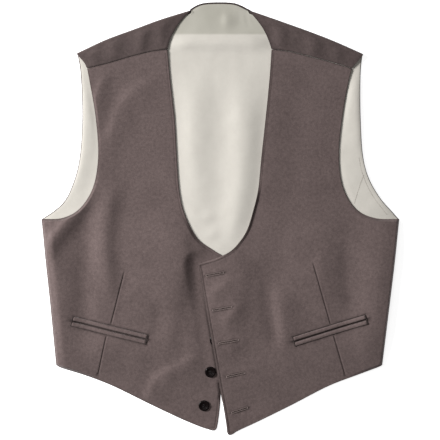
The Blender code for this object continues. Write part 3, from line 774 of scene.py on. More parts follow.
def cloth_points(front, row_offsets, spacing, sewn):
    """Points that fill a front: its outline first, then rows inside it, sewn lines and a fill."""
    normals = inward_normals(front.ring)
    groups = [front.ring]
    sewn_lines = []
    if sewn:
        frame_edges = [WELT_PARTING / 2 + WELT_WIDTH + step for step in (-0.6, 0.1, 0.8, 1.7)]
        slit_rows = line_rows(front.slit, (0, 0.5, 1.1, 2.4, 4.4, *frame_edges))
        groups.append(slit_rows)
        sewn_lines.append((front.slit, frame_edges[-1] + 1.2))
        lap = [front.other.edges["front"]] if front.side == "right" else []
        for line in front.darts + front.buttonholes + lap:
            points = line_rows(line, SEWN_ROWS)
            clear = is_inside(points, front.ring)
            for earlier, reach in sewn_lines:
                clear &= earlier.distance(points) > reach - 0.6
            clear &= front.outline.distance(points) > row_offsets[-1] + 0.8
            groups.append(points[clear])
            sewn_lines.append((line, SEWN_ROWS[-1] + 1.2))
    for offset in row_offsets:
        points = front.ring + normals * offset
        clear = is_inside(points, front.ring) & (front.outline.distance(points) > 0.93 * offset)
        for line, reach in sewn_lines:
            clear &= line.distance(points) > reach
        groups.append(points[clear])
    low = front.ring.min(axis=0)
    high = front.ring.max(axis=0)
    rise = spacing * math.sqrt(3) / 2
    fill = []
    for row, y in enumerate(np.arange(low[1], high[1], rise)):
        x = np.arange(low[0] + (row % 2) * spacing / 2, high[0], spacing)
        fill.append(np.stack([x, np.full(len(x), y)], axis=1))
    fill = np.vstack(fill)
    fill = fill[is_inside(fill, front.ring)]
    clear = front.outline.distance(fill) > row_offsets[-1] + 0.6 * spacing
    for line, reach in sewn_lines:
        clear &= line.distance(fill) > reach
    groups.append(fill[clear])
    return np.vstack(groups)


def triangulated(points, ring_count):
    """The points and the triangles between them, inside the outline that comes first."""
    found = delaunay_2d_cdt([Vector(point) for point in points], [], [list(range(ring_count))],
                            1, 1e-3)
    flat = np.array([tuple(point) for point in found[0]])
    return flat, [tuple(face) for face in found[2]]


def add_object(name, data):
    """A new object of the scene."""
    made = bpy.data.objects.new(name, data)
    bpy.context.scene.collection.objects.link(made)
    return made


def mesh_object(name, points, faces, finish, attributes=None):
    """A smooth mesh object from points in millimetres."""
    mesh = bpy.data.meshes.new(name)
    mesh.from_pydata([tuple(point) for point in np.asarray(points) * METRES_PER_MM], [], faces)
    mesh.update()
    mesh.shade_smooth()
    for title, values in (attributes or {}).items():
        layer = mesh.attributes.new(title, "FLOAT", "POINT")
        layer.data.foreach_set("value", np.asarray(values, np.float32))
    mesh.materials.append(finish)
    return add_object(name, mesh)


def turned_up(points, faces, up=True):
    """The faces, each wound so that it looks up, or down."""
    wound = []
    for face in faces:
        a, b, c = (points[corner] for corner in face[:3])
        turn = (b[0] - a[0]) * (c[1] - a[1]) - (b[1] - a[1]) * (c[0] - a[0])
        wound.append(face if (turn > 0) == up else face[::-1])
    return wound


def rework(made, change):
    """Opens an object's mesh for a change."""
    form = bmesh.new()
    form.from_mesh(made.data)
    change(form)
    form.to_mesh(made.data)
    form.free()


def weld(made):
    """Joins the points of a mesh that lie in one place."""
    rework(made, lambda form: bmesh.ops.remove_doubles(form, verts=form.verts,
                                                       dist=WELD_DISTANCE))


def make_front(front, finish):
    """A front as a closed shell: a fine outer face and a coarser inner one."""
    top, top_faces = triangulated(cloth_points(front, TOP_ROWS, FILL_SPACING, True),
                                  len(front.ring))
    under, under_faces = triangulated(cloth_points(front, UNDER_ROWS, UNDER_SPACING, False),
                                      len(front.ring))
    top_height, pinch = front.surface(top)
    under_height = front.underside(under)
    on_edge = front.outline.distance(under) < 0.01
    under_height[on_edge] = front.surface(under[on_edge])[0]
    faces = turned_up(top, top_faces)
    faces += [tuple(corner + len(top) for corner in face)
              for face in turned_up(under, under_faces, up=False)]
    points = np.vstack([np.column_stack([top, top_height]),
                        np.column_stack([under, under_height])])
    # The outer face carries painted shade for the wool's colour; the inner face has none.
    made = mesh_object(f"{front.side}_front_cloth", points, faces, finish,
                       {"pinch": np.concatenate([pinch, np.zeros(len(under))])})
    weld(made)
    return made


def flat_sheet(edges):
    """A grid of points that fills four edges, each inner point eased between its neighbours."""
    bottom, top, start, end = edges
    share = np.linspace(0, 1, len(bottom))[None, :, None]
    sheet = start[:, None, :] * (1 - share) + end[:, None, :] * share
    sheet[0] = bottom
    sheet[-1] = top
    for _ in range(RELAX_ROUNDS):
        sheet[1:-1, 1:-1] = (sheet[:-2, 1:-1] + sheet[2:, 1:-1]
                             + sheet[1:-1, :-2] + sheet[1:-1, 2:]) / 4
    return sheet


def fold_outward(side):
    """The direction in which a shoulder's fold points."""
    ends = level(SHOULDER_FOLD, side)
    run = ends[-1] - ends[0]
    outward = quarter_turned(run) / np.linalg.norm(run)
    return outward if outward[1] > 0 else -outward


def fold_radii(count):
    """The radius of a shoulder's fold, from the shoulder tip to the neck, where it tightens."""
    from_neck = count - np.arange(count + 1)
    return NECK_FOLD_RADIUS + (FOLD_HEIGHT / 2 - NECK_FOLD_RADIUS) * smoothstep(0, 6, from_neck)


def fold_line(side, count):
    """Where a shoulder's fold leaves the table, from the shoulder tip to the neck."""
    outline = curve_of(level(SHOULDER_FOLD, side), count)
    return outline - fold_outward(side) * fold_radii(count)[:, None]


def back_edges(rows, columns):
    """The hem, top, right and left edges of the back where it lies on the table."""
    low, high = rows
    right_count, neck_count, left_count = columns
    right_fold = fold_line("right", right_count)
    left_fold = fold_line("left", left_count)[::-1]
    neck = np.vstack([right_fold[-1:], BACK_NECK[1:-1], left_fold[:1]])
    top = np.vstack([right_fold, curve_of(neck, neck_count)[1:], left_fold[1:]])
    uprights = []
    for side, tip in (("right", right_fold[0]), ("left", left_fold[-1])):
        seam = upright(SIDE_SEAM, side) - (OUTWARD[side] * SIDE_INSET, 0)
        armhole = np.vstack([seam[-1:], upright(BACK_ARMHOLE, side)[1:-1], tip[None]])
        uprights.append(np.vstack([curve_of(seam, low), curve_of(armhole, high)[1:]]))
    right, left = uprights
    middle = [(right[0][0] + left[0][0]) / 2, BACK_HEM_HEIGHT - BACK_HEM_DIP]
    bottom = curve_of(np.vstack([right[0], middle, left[0]]), sum(columns))
    return bottom, top, right, left


def neck_opening():
    """The edge of the back and its strips round the neck, from one shoulder seam to the other."""
    right, left = (curve_of(upright(STRIP_NECK, side), 16) for side in SIDES)
    return np.vstack([right[::-1], BACK_NECK[1:-1], left])


def strip_grid(side, count):
    """The cloth over one shoulder, from just past the fold to the forward seam."""
    radius = fold_radii(count)
    fold = fold_line(side, count)
    outward = fold_outward(side)
    rows = []
    for step in range(1, ARC_STEPS + 1):
        angle = math.pi * step / ARC_STEPS
        flat = fold + outward * (radius * math.sin(angle))[:, None]
        rows.append(np.column_stack([flat, radius * (1 - math.cos(angle))]))
    gap = np.array([0, SEAM_GAP])
    armhole = np.vstack([fold[:1], upright(STRIP_ARMHOLE, side)[1:]])
    neck = np.vstack([fold[-1:], upright(STRIP_NECK, side)[1:]])
    seam = np.vstack([armhole[-1:], level(SHOULDER_SEAM, side)[1:-1], neck[-1:]]) + gap
    armhole[-1] += gap
    neck[-1] += gap
    edges = (fold, curve_of(seam, count), curve_of(armhole, STRIP_ROWS),
             curve_of(neck, STRIP_ROWS))
    creases = crease_lines(STRIP_CREASES)
    for row, flat in enumerate(flat_sheet(edges)[1:], start=1):
        fall = smoothstep(0, STRIP_ROWS, row)
        height = 2 * radius + (SEAM_HEIGHT - 2 * radius) * fall
        spread = smoothstep(0, 6, row) * (0.35 + 0.65 * smoothstep(0, 5, STRIP_ROWS - row))
        ends = np.minimum(np.arange(count + 1), np.arange(count + 1)[::-1])
        ripple = crease_lift(flat, creases) + waves(flat, STRIP_WAVES)
        height += ripple * spread * smoothstep(0, 3, ends)
        rows.append(np.column_stack([flat, height]))
    return np.array(rows)


def grid_faces(numbers):
    """Quads between the rows of a grid of point numbers."""
    faces = []
    for lower, upper in zip(numbers, numbers[1:]):
        for column in range(len(lower) - 1):
            faces.append((int(lower[column]), int(lower[column + 1]),
                          int(upper[column + 1]), int(upper[column])))
    return faces


def thicken(made, wall, round_off):
    """Gives a sheet its wall on the inner side, with rounded edges, as plain mesh."""
    shell = made.modifiers.new("wall", "SOLIDIFY")
    shell.thickness = wall * METRES_PER_MM
    shell.offset = -1
    shell.use_rim = True
    rounding = made.modifiers.new("rounding", "BEVEL")
    rounding.width = round_off * METRES_PER_MM
    rounding.segments = 3
    rounding.limit_method = "ANGLE"
    rounding.angle_limit = math.radians(50)
    settle(made)


def settle(made):
    """Turns an object's modifiers into plain mesh."""
    bpy.context.view_layer.update()
    finished = made.evaluated_get(bpy.context.evaluated_depsgraph_get())
    mesh = bpy.data.meshes.new_from_object(finished)
    old = made.data
    made.modifiers.clear()
    made.data = mesh
    bpy.data.meshes.remove(old)
    mesh.name = made.name


def make_back(finish):
    """The back, flat on the table, with a strip wrapped over each shoulder."""
    sheet = flat_sheet(back_edges(BACK_ROWS, BACK_COLUMNS))
    height, width = sheet.shape[:2]
    numbers = np.arange(height * width).reshape(height, width)
    points = [np.column_stack([sheet.reshape(-1, 2), np.zeros(height * width)])]
    faces = grid_faces(numbers)
    count = height * width
    for side in SIDES:
        columns = BACK_COLUMNS[0] if side == "right" else BACK_COLUMNS[2]
        start = numbers[-1][:columns + 1] if side == "right" else numbers[-1][-columns - 1:]
        strip = strip_grid(side, columns)
        if side == "left":
            strip = strip[:, ::-1]
        added = np.arange(count, count + strip.shape[0] * strip.shape[1])
        faces += grid_faces(np.vstack([start[None], added.reshape(strip.shape[:2])]))
        points.append(strip.reshape(-1, 3))
        count += len(added)
    points = np.vstack(points)
    # Painted shade along the neck rim and the shoulder seams, stored for the wool's colour.
    pinch = ridge(Line(neck_opening()).distance(points[:, :2]), *NECK_RIM_PAINTED_SHADE)
    for side in SIDES:
        from_seam = Line(level(SHOULDER_SEAM, side)).distance(points[:, :2])
        pinch = np.maximum(pinch, ridge(from_seam, *SHOULDER_SEAM_PAINTED_SHADE))
    made = mesh_object("back_cloth", points, [face[::-1] for face in faces], finish,
                       {"pinch": pinch})
    thicken(made, BACK_WALL, 0.45)
    return made


def inset_edges(edges, columns):
    """The four edges of the back, moved inward: far at the hem and sides, little elsewhere."""
    bottom, top, right, left = edges
    low = LINING_ROWS[0]
    insets = LINING_INSET
    to_armhole = insets["armhole"] - insets["side"]
    side_steps = [insets["side"] + to_armhole * smoothstep(0.6 * low, low, row)
                  for row in range(low)]
    arm_steps = [insets["armhole"]] * (len(left) - 1 - low)
    neck_rise = smoothstep(0, 5, np.arange(columns[1]))
    neck_steps = insets["fold"] + (insets["neck"] - insets["fold"]) * np.minimum(
        neck_rise, neck_rise[::-1])
    ring = np.vstack([bottom[:-1], left[:-1], top[:0:-1], right[:0:-1]])
    steps = np.concatenate([
        [insets["hem"]] * (len(bottom) - 1),
        side_steps,
        arm_steps,
        [insets["fold"]] * columns[2],
        neck_steps,
        [insets["fold"]] * columns[0],
        arm_steps[::-1],
        side_steps[::-1],
    ])
    arrive = ring - np.roll(ring, 1, axis=0)
    arrive /= np.linalg.norm(arrive, axis=1)[:, None]
    leave = np.roll(arrive, -1, axis=0)
    normals = quarter_turned(arrive + leave)
    moved = ring + normals * (steps / (1 + np.sum(arrive * leave, axis=1)))[:, None]
    across = len(bottom) - 1
    up = len(left) - 1
    corners = [0, across, across + up, 2 * across + up, 2 * (across + up)]
    moved = np.vstack([moved, moved[:1]])
    new_bottom, new_left, new_top, new_right = (
        moved[start:end + 1] for start, end in zip(corners, corners[1:]))
    return new_bottom, new_top[::-1], new_right[::-1], new_left


def make_lining(finish):
    """The back lining, with the soft folds that show through the neck."""
    edges = inset_edges(back_edges(LINING_ROWS, LINING_COLUMNS), LINING_COLUMNS)
    sheet = flat_sheet(edges)
    flat = sheet.reshape(-1, 2)
    necks = [curve_of(upright(FRONT_NECK, side), 60) for side in SIDES]
    strips = [curve_of(upright(STRIP_NECK, side), 16) for side in SIDES]
    opening = np.vstack([necks[0][:-1], strips[0][::-1], strips[1], necks[1][-2::-1]])
    clear = np.clip(Line(opening, closed=True).distance(flat) / LINING_RUN, 0, 1)
    clear = clear * (2 - clear) * is_inside(flat, opening)
    for side in SIDES:
        front_edge = curve_of(upright(FRONT_ARMHOLE, side), 40)
        rim = curve_of(upright(BACK_ARMHOLE, side), 40)
        opening = np.vstack([front_edge, rim[::-1]])
        from_front = Line(front_edge).distance(flat)
        clear = np.maximum(clear, smoothstep(0, 8, from_front) * is_inside(flat, opening))
    ripple = crease_lift(flat, crease_lines(LINING_CREASES))
    ripple += waves(flat, LINING_WAVES)
    height = LINING_REST + LINING_WALL + np.maximum(ripple, -0.2) * clear
    for side in SIDES:
        from_side = Line(smooth_curve(upright(SIDE_SEAM, side), 10)).distance(flat)
        height -= LINING_SIDE_DROP * (1 - smoothstep(3, 16, from_side))
        neck_corner = flat - level(SHOULDER_FOLD, side)[-1]
        height -= ridge(np.hypot(neck_corner[:, 0], neck_corner[:, 1]), *LINING_CORNER_DROP)
    numbers = np.arange(len(flat)).reshape(sheet.shape[:2])
    points = np.column_stack([flat, height])
    made = mesh_object("back_lining_cloth", points,
                       turned_up(points, grid_faces(numbers)), finish)
    thicken(made, LINING_CLOTH, 0.2)
    return made


def lining_seams(lining):
    """Stitches along the lining's seams that show in the left armhole."""
    spans = []
    for points in LINING_SEAMS:
        chain = smooth_chain(points)
        stations = even_steps(chain, int(run_lengths(chain).sum() / LINING_STITCH))
        for start, end in zip(stations, stations[1:]):
            ends = []
            for place in (start, start + 0.8 * (end - start)):
                hit, spot, _, _ = lining.ray_cast(Vector((*place, 40)) * METRES_PER_MM,
                                                  Vector((0, 0, -1)))
                if hit:
                    ends.append(np.array(spot) / METRES_PER_MM + (0, 0, 0.08))
            if len(ends) == 2:
                spans.append(ends)
    return spans


def make_welts(front, finish):
    """The two rounded welts of a pocket, sunk a little into the front round its slit."""
    start, end = sorted((front.slit.points[0], front.slit.points[-1]), key=lambda p: p[0])
    total = np.linalg.norm(end - start)
    run = (end - start) / total
    upward = quarter_turned(run)
    shares = np.linspace(0, 1, WELT_GRID[0])[:, None]
    section = np.linspace(0, 1, WELT_GRID[1])[None, :]
    near_end = np.clip(np.minimum(shares, 1 - shares) * total / WELT_END_RUN, 0, 1)
    full = 0.35 + 0.65 * np.sqrt(near_end * (2 - near_end))
    bulge = np.sqrt(1 - np.abs(2 * section - 1) ** 2.6)
    made = []
    for place, sense in (("upper", 1), ("lower", -1)):
        centres = start + (end - start) * shares
        wave = unevenness(centres, 9, sense * 3.3)[:, None]
        across = sense * (WELT_PARTING / 2 + WELT_WIDTH * section[..., None])
        flat = centres[:, None, :] + upward * across
        base = front.broad_height(flat.reshape(-1, 2))[0].reshape(flat.shape[:2]) - WELT_SINK
        upper = base + 0.25 + (WELT_RISE + 0.15 * wave) * bulge * full
        outer_face = np.dstack([flat, upper])
        inner_face = np.dstack([flat, base + 0.1])[:, -2:0:-1]
        grid = np.hstack([outer_face, inner_face])
        numbers = np.arange(grid.shape[0] * grid.shape[1]).reshape(grid.shape[:2])
        faces = grid_faces(np.hstack([numbers, numbers[:, :1]]))
        faces.append(tuple(int(number) for number in numbers[0]))
        faces.append(tuple(int(number) for number in numbers[-1]))
        welt = mesh_object(f"{front.side}_pocket_{place}_welt_cloth", grid.reshape(-1, 3),
                           faces, finish)
        outward_normals(welt)
        made.append(welt)
    return made


def outward_normals(made):
    """Winds a closed mesh so that its faces look outward."""
    rework(made, lambda form: bmesh.ops.recalc_face_normals(form, faces=form.faces))


def make_threads(name, spans, radius, finish, arch):
    """Short lengths of thread, each from point to point, raised in its middle."""
    sides = THREAD_SIDES
    angles = np.arange(sides) * math.tau / sides
    points = []
    faces = []
    for start, end in spans:
        start = np.asarray(start, float)
        end = np.asarray(end, float)
        run = (end - start) / np.linalg.norm(end - start)
        across = np.cross([0, 0, 1], run)
        across /= np.linalg.norm(across)
        up = np.cross(run, across)
        base = len(points)
        for share, swell in zip(THREAD_SHARES, THREAD_SWELLS):
            centre = start + (end - start) * share + up * arch * (1 - (2 * share - 1) ** 2)
            for angle in angles:
                points.append(centre + radius * swell * (across * math.cos(angle)
                                                         + up * math.sin(angle)))
        for ring in range(len(THREAD_SHARES) - 1):
            for corner in range(sides):
                following = (corner + 1) % sides
                low = base + ring * sides
                faces.append((low + corner, low + following,
                              low + sides + following, low + sides + corner))
        faces.append(tuple(base + corner for corner in range(sides))[::-1])
        last = base + (len(THREAD_SHARES) - 1) * sides
        faces.append(tuple(last + corner for corner in range(sides)))
    made = mesh_object(name, np.array(points), faces, finish)
    outward_normals(made)
    return made


def edge_stitches(front, name):
    """Stitches in a row at an even distance inside one edge of a front."""
    edge = front.edges[name]
    inner = line_rows(edge, (STITCH_INSET,))
    keep = is_inside(inner, front.ring) & (front.outline.distance(inner) > 0.9 * STITCH_INSET)
    chain = inner[keep]
    chain = chain[np.argsort(edge.nearest(chain)[1])]
    pace = STITCH_LENGTH + STITCH_PARTING
    count = int(run_lengths(chain).sum() / pace)
    stations = even_steps(chain, 2 * count)
    spots = np.column_stack([stations, front.surface(stations)[0] + STITCH_LIFT])
    spans = []
    for index in range(0, 2 * count - 1, 2):
        run = spots[index + 1] - spots[index]
        spans.append((spots[index], spots[index] + run * 2 * STITCH_LENGTH / pace))
    return spans


def bar_tack(front, centre, run):
    """A dense bar of short threads across the end of a pocket."""
    upward = quarter_turned(run)
    across = np.linspace(-0.5, 0.5, int(TACK_HEIGHT / TACK_PITCH) + 1)[:, None] * TACK_HEIGHT
    middles = centre + upward * across
    ends = np.vstack([middles - run * TACK_WIDTH / 2, middles + run * TACK_WIDTH / 2])
    spots = np.column_stack([ends, front.broad_height(ends)[0] + TACK_LIFT])
    return list(zip(spots[:len(middles)], spots[len(middles):]))


def pocket_tacks(front):
    """The bars at both ends of a pocket."""
    start, end = front.slit.points[0], front.slit.points[-1]
    run = end - start
    run /= np.linalg.norm(run)
    return (bar_tack(front, start - run * TACK_BEYOND, run)
            + bar_tack(front, end + run * TACK_BEYOND, run))


def buttonhole_threads(front, line):
    """Threads close together round a buttonhole, square to its slit and fanned at its ends."""
    start, end = line.points[0], line.points[-1]
    run = (end - start) / line.total
    upward = quarter_turned(run)
    spans = []
    count = int(line.total / HOLE_PITCH)
    for index in range(count + 1):
        centre = start + run * line.total * index / count
        for sense in (-1, 1):
            spans.append([centre + upward * sense * away for away in HOLE_STITCH])
    for centre, ahead in ((start, -run), (end, run)):
        for step in range(1, HOLE_FAN_STEPS):
            angle = math.pi * (step / HOLE_FAN_STEPS - 0.5)
            way = ahead * math.cos(angle) + upward * math.sin(angle)
            spans.append([centre + way * away for away in HOLE_FAN])
    flat = np.array(spans).reshape(-1, 2)
    lowest = front.broad_height(flat)[0] - HOLE_STITCH_SINK
    heights = np.maximum(front.surface(flat)[0], lowest) + HOLE_STITCH_LIFT
    solid = np.column_stack([flat, heights]).reshape(-1, 2, 3)
    return [(pair[0], pair[1]) for pair in solid]


def button_mesh():
    """A four-hole button: a turned disc with a dished middle, a round rim and drilled holes."""
    form = bmesh.new()
    chain = [form.verts.new(Vector((radius, 0, height)) * METRES_PER_MM)
             for radius, height in BUTTON_PROFILE]
    edges = [form.edges.new(pair) for pair in zip(chain, chain[1:])]
    bmesh.ops.spin(form, geom=chain + edges, cent=(0, 0, 0), axis=(0, 0, 1),
                   angle=math.tau, steps=BUTTON_SIDES, use_merge=True)
    bmesh.ops.remove_doubles(form, verts=form.verts, dist=0.000005)
    bmesh.ops.recalc_face_normals(form, faces=form.faces)
    blank_mesh = bpy.data.meshes.new("button_blank")
    form.to_mesh(blank_mesh)
    form.free()
    blank = add_object("button_blank", blank_mesh)
    drills = []
    for number in range(HOLES):
        angle = math.tau * (number + 0.5) / HOLES
        drill_form = bmesh.new()
        bmesh.ops.create_cone(drill_form, cap_ends=True, segments=HOLE_SIDES,
                              radius1=HOLE_RADIUS * METRES_PER_MM,
                              radius2=HOLE_RADIUS * METRES_PER_MM, depth=0.01)
        drill_mesh = bpy.data.meshes.new(f"drill_{number}")
        drill_form.to_mesh(drill_mesh)
        drill_form.free()
        drill = add_object(f"drill_{number}", drill_mesh)
        drill.location = (Vector((math.cos(angle), math.sin(angle), 0))
                          * HOLE_SPREAD * METRES_PER_MM)
        drills.append(drill)
        cut = blank.modifiers.new(f"hole_{number}", "BOOLEAN")
        cut.object = drill
        cut.operation = "DIFFERENCE"
    rim = blank.modifiers.new("soft_rim", "BEVEL")
    rim.width = 0.12 * METRES_PER_MM
    rim.segments = 2
    rim.limit_method = "ANGLE"
    rim.angle_limit = math.radians(60)
    settle(blank)
    mesh = blank.data
    mesh.name = "button"
    mesh.shade_smooth()
    mesh.set_sharp_from_angle(angle=math.radians(35))
    bpy.data.objects.remove(blank)
    for drill in drills:
        bpy.data.objects.remove(drill)
    return mesh


def make_buttons(front, finish, thread_finish):
    """The five buttons, each lying square where it is sewn, with its thread."""
    mesh = button_mesh()
    made = []
    angles = np.arange(16) * math.tau / 16
    rim = np.column_stack([np.cos(angles), np.sin(angles)])
    for number, centre in enumerate(BUTTON_CENTRES, start=1):
        centre = np.array(centre)
        around = np.vstack([centre + rim * BUTTON_RADIUS * share for share in (0.05, 0.5, 1.0)])
        heights = front.surface(around)[0]
        flat = np.column_stack([around - centre, np.ones(len(around))])
        slope_x, slope_y, middle = np.linalg.lstsq(flat, heights, rcond=None)[0]
        seat = middle + np.max(heights - flat @ (slope_x, slope_y, middle))
        upward = Vector((-slope_x, -slope_y, 1)).normalized()
        turn = Vector((0, 0, 1)).rotation_difference(upward).to_matrix().to_4x4()
        twist = Matrix.Rotation(math.radians(BUTTON_TURNS[number - 1]), 4, "Z")
        seat_spot = Vector((*centre, seat + BUTTON_LIFT)) * METRES_PER_MM
        place = Matrix.Translation(seat_spot) @ turn @ twist
        button = add_object(f"button_{number}_turned", mesh.copy())
        button.data.materials.append(finish)
        button.data.transform(place)
        spans = []
        for sense in (-1, 1):
            for strand in BUTTON_STRANDS:
                y = sense * HOLE_SPREAD * 0.707 + strand
                reach = HOLE_SPREAD * 0.707 + 0.35
                spans.append(((-reach, y, BUTTON_THREAD_HEIGHT), (reach, y, BUTTON_THREAD_HEIGHT)))
        thread = make_threads(f"button_{number}_thread", spans, 0.24, thread_finish, arch=0.5)
        thread.data.transform(place)
        made.append((button, thread))
    return made


class Value:
    """An output of a node, whose arithmetic adds Math nodes to its finish."""

    def __init__(self, finish, output):
        self.finish = finish
        self.output = output

    def _math(self, operation, first, second):
        return self.finish.add("ShaderNodeMath", {"operation": operation}, {0: first, 1: second})

    def __add__(self, other):
        return self._math("ADD", self, other)

    def __radd__(self, other):
        return self._math("ADD", other, self)

    def __sub__(self, other):
        return self._math("SUBTRACT", self, other)

    def __rsub__(self, other):
        return self._math("SUBTRACT", other, self)

    def __mul__(self, other):
        return self._math("MULTIPLY", self, other)

    def __rmul__(self, other):
        return self._math("MULTIPLY", other, self)


class Finish:
    """A material being made, with its shader and its nodes."""

    def __init__(self, name, **constants):
        self.material = bpy.data.materials.new(name)
        self.material.use_nodes = True
        self.tree = self.material.node_tree
        self.shader = self.tree.nodes["Principled BSDF"]
        for title, value in constants.items():
            self.shader.inputs[title.replace("_", " ")].default_value = value

    def link(self, value, socket):
        """Feeds a socket from a node's output, or sets it to a constant."""
        if isinstance(value, Value):
            self.tree.links.new(value.output, socket)
        else:
            socket.default_value = value

    def add(self, kind, settings=None, sockets=None, output=0):
        """A node of a kind, with its settings, and the values or links of its sockets."""
        node = self.tree.nodes.new(kind)
        for title, value in (settings or {}).items():
            if title == "stops":
                ramp = node.color_ramp
                while len(ramp.elements) < len(value):
                    ramp.elements.new(1.0)
                for element, (position, colour) in zip(ramp.elements, value):
                    element.position = position
                    element.color = (*colour, 1.0)
            else:
                setattr(node, title, value)
        for title, value in (sockets or {}).items():
            self.link(value, node.inputs[title])
        return Value(self, node.outputs[output])

    def set(self, title, value):
        """Feeds or sets a socket of the shader."""
        self.link(value, self.shader.inputs[title])

    def places(self):
        """Where a point of the surface lies in the model's frame, in metres."""
        return self.add("ShaderNodeTexCoord", output="Object")

    def noise(self, places, scale, detail, rough):
        """Irregular grain, from 0 to 1."""
        return self.add("ShaderNodeTexNoise", None,
                        {"Vector": places, "Scale": scale, "Detail": detail, "Roughness": rough})

    def mix(self, share, first, second):
        """A colour between two others."""
        return self.add("ShaderNodeMix", {"data_type": "RGBA"},
                        {0: share, 6: first, 7: second}, output=2)

    def bump(self, height, distance, strength, normal=None):
        """A normal tilted by a fine relief, on top of another where one is given."""
        sockets = {"Height": height, "Distance": distance, "Strength": strength}
        if normal is not None:
            sockets["Normal"] = normal
        return self.add("ShaderNodeBump", None, sockets)


def colour(red, green, blue, scale=1.0):
    """A colour with its alpha, made lighter or darker by scale."""
    return (red * scale, green * scale, blue * scale, 1.0)


def wool_finish(name, scale=1.0):
    """Taupe wool: heathered yarns in a fine twill with a short soft nap, darkened by painted shade
    where the mesh marks it, and made lighter or darker by scale for painted light on the welts and
    painted shade on the back.
    """
    finish = Finish(name, Roughness=0.88, Sheen_Weight=0.12, Sheen_Roughness=0.5,
                    Specular_IOR_Level=0.25)
    places = finish.places()
    twill = finish.add("ShaderNodeTexWave",
                       {"wave_type": "BANDS", "bands_direction": "DIAGONAL"},
                       {"Vector": places, "Scale": 520.0, "Distortion": 1.2, "Detail": 2.0,
                        "Detail Scale": 2.0}, output="Fac")
    heather = finish.noise(places, 950.0, 3.0, 0.7)
    mottle = finish.noise(places, 230.0, 3.0, 0.6)
    cloud = finish.noise(places, 26.0, 2.0, 0.5)
    pinch = finish.add("ShaderNodeAttribute", {"attribute_name": "pinch"}, output="Fac")
    shade = heather * 0.45 + mottle * 0.4 + cloud * 0.15
    dark = colour(0.064, 0.045, 0.043, scale)
    light = colour(0.173, 0.128, 0.122, scale)
    cloth = finish.mix(shade * 2.2 - 0.6, dark, light)
    # Painted shade: the cloth turns towards near-black where the mesh's painted shade is set.
    cloth = finish.mix(pinch * 0.75, cloth, colour(0.030, 0.020, 0.018, scale))
    finish.set("Base Color", cloth)
    fine = finish.bump(twill * 0.6 + heather * 0.8, 0.00022, 0.5)
    finish.set("Normal", finish.bump(mottle, 0.0009, 0.35, fine))
    return finish.material


def satin_finish(name):
    """Cream satin: a fine even weave with a soft gloss, and a greyer colour at the top of the neck
    opening that is painted shade.
    """
    finish = Finish(name, Roughness=0.42, Specular_IOR_Level=0.25, Sheen_Weight=0.1)
    places = finish.places()
    weave = finish.add("ShaderNodeTexWave",
                       {"wave_type": "BANDS", "bands_direction": "Y"},
                       {"Vector": places, "Scale": 420.0, "Distortion": 0.8, "Detail": 1.0},
                       output="Fac")
    slub = finish.noise(places, 160.0, 3.0, 0.6)
    cloud = finish.noise(places, 18.0, 2.0, 0.5)
    cream = finish.mix(slub * 0.5 + cloud * 0.5, colour(0.54, 0.512, 0.462),
                       colour(0.64, 0.608, 0.552))
    # Painted shade: towards the top of the neck opening the cream turns to a mottled grey.
    height = finish.add("ShaderNodeSeparateXYZ", None, {"Vector": places}, output=1)
    shaded_top = finish.add("ShaderNodeMapRange", {"interpolation_type": "SMOOTHSTEP"},
                       {"Value": height, "From Min": SHADED_TOP_LINE - 0.004,
                        "From Max": SHADED_TOP_LINE})
    grey = finish.mix(cloud * 1.6 - 0.3, colour(0.37, 0.355, 0.303), colour(0.50, 0.482, 0.425))
    finish.set("Base Color", finish.mix(shaded_top, cream, grey))
    finish.set("Roughness", 0.36 + 0.14 * slub)
    finish.set("Normal", finish.bump(weave * 0.5 + slub, 0.00012, 0.5))
    return finish.material


def button_finish(name):
    """Polished black, with faint polishing marks."""
    finish = Finish(name, Specular_IOR_Level=0.1)
    places = finish.places()
    marks = finish.noise(places, 900.0, 3.0, 0.6)
    finish.set("Base Color", finish.mix(marks, colour(0.004, 0.0025, 0.0025),
                                        colour(0.008, 0.005, 0.005)))
    finish.set("Roughness", 0.16 + 0.1 * marks)
    finish.set("Normal", finish.bump(marks, 0.00005, 0.3))
    return finish.material


def thread_finish(name, red, green, blue):
    """Twisted sewing thread."""
    finish = Finish(name, Roughness=0.7, Specular_IOR_Level=0.3)
    places = finish.places()
    twist = finish.noise(places, 2600.0, 2.0, 0.6)
    finish.set("Base Color", finish.mix(twist, colour(red, green, blue, 0.7),
                                        colour(red, green, blue, 1.3)))
    finish.set("Normal", finish.bump(twist, 0.00008, 0.6))
    return finish.material


def floor_finish(name):
    """Plain pale table top, lit a little from within so that it shows white."""
    finish = Finish(name, Roughness=0.95, Specular_IOR_Level=0.1,
                    Emission_Color=(1.0, 1.0, 1.0, 1.0), Emission_Strength=0.75)
    places = finish.places()
    grain = finish.noise(places, 60.0, 2.0, 0.5)
    finish.set("Base Color", finish.mix(grain, colour(0.93, 0.93, 0.93), colour(0.96, 0.96, 0.96)))
    return finish.material


def area_light(name, place, aim, size, energy):
    """A round soft light that shines from a place towards another."""
    data = bpy.data.lights.new(name, "AREA")
    data.shape = "DISK"
    data.size = size
    data.energy = energy
    lamp = add_object(name, data)
    lamp.location = place
    way = Vector(aim) - Vector(place)
    lamp.rotation_euler = way.to_track_quat("-Z", "Y").to_euler()
    lamp.visible_camera = False


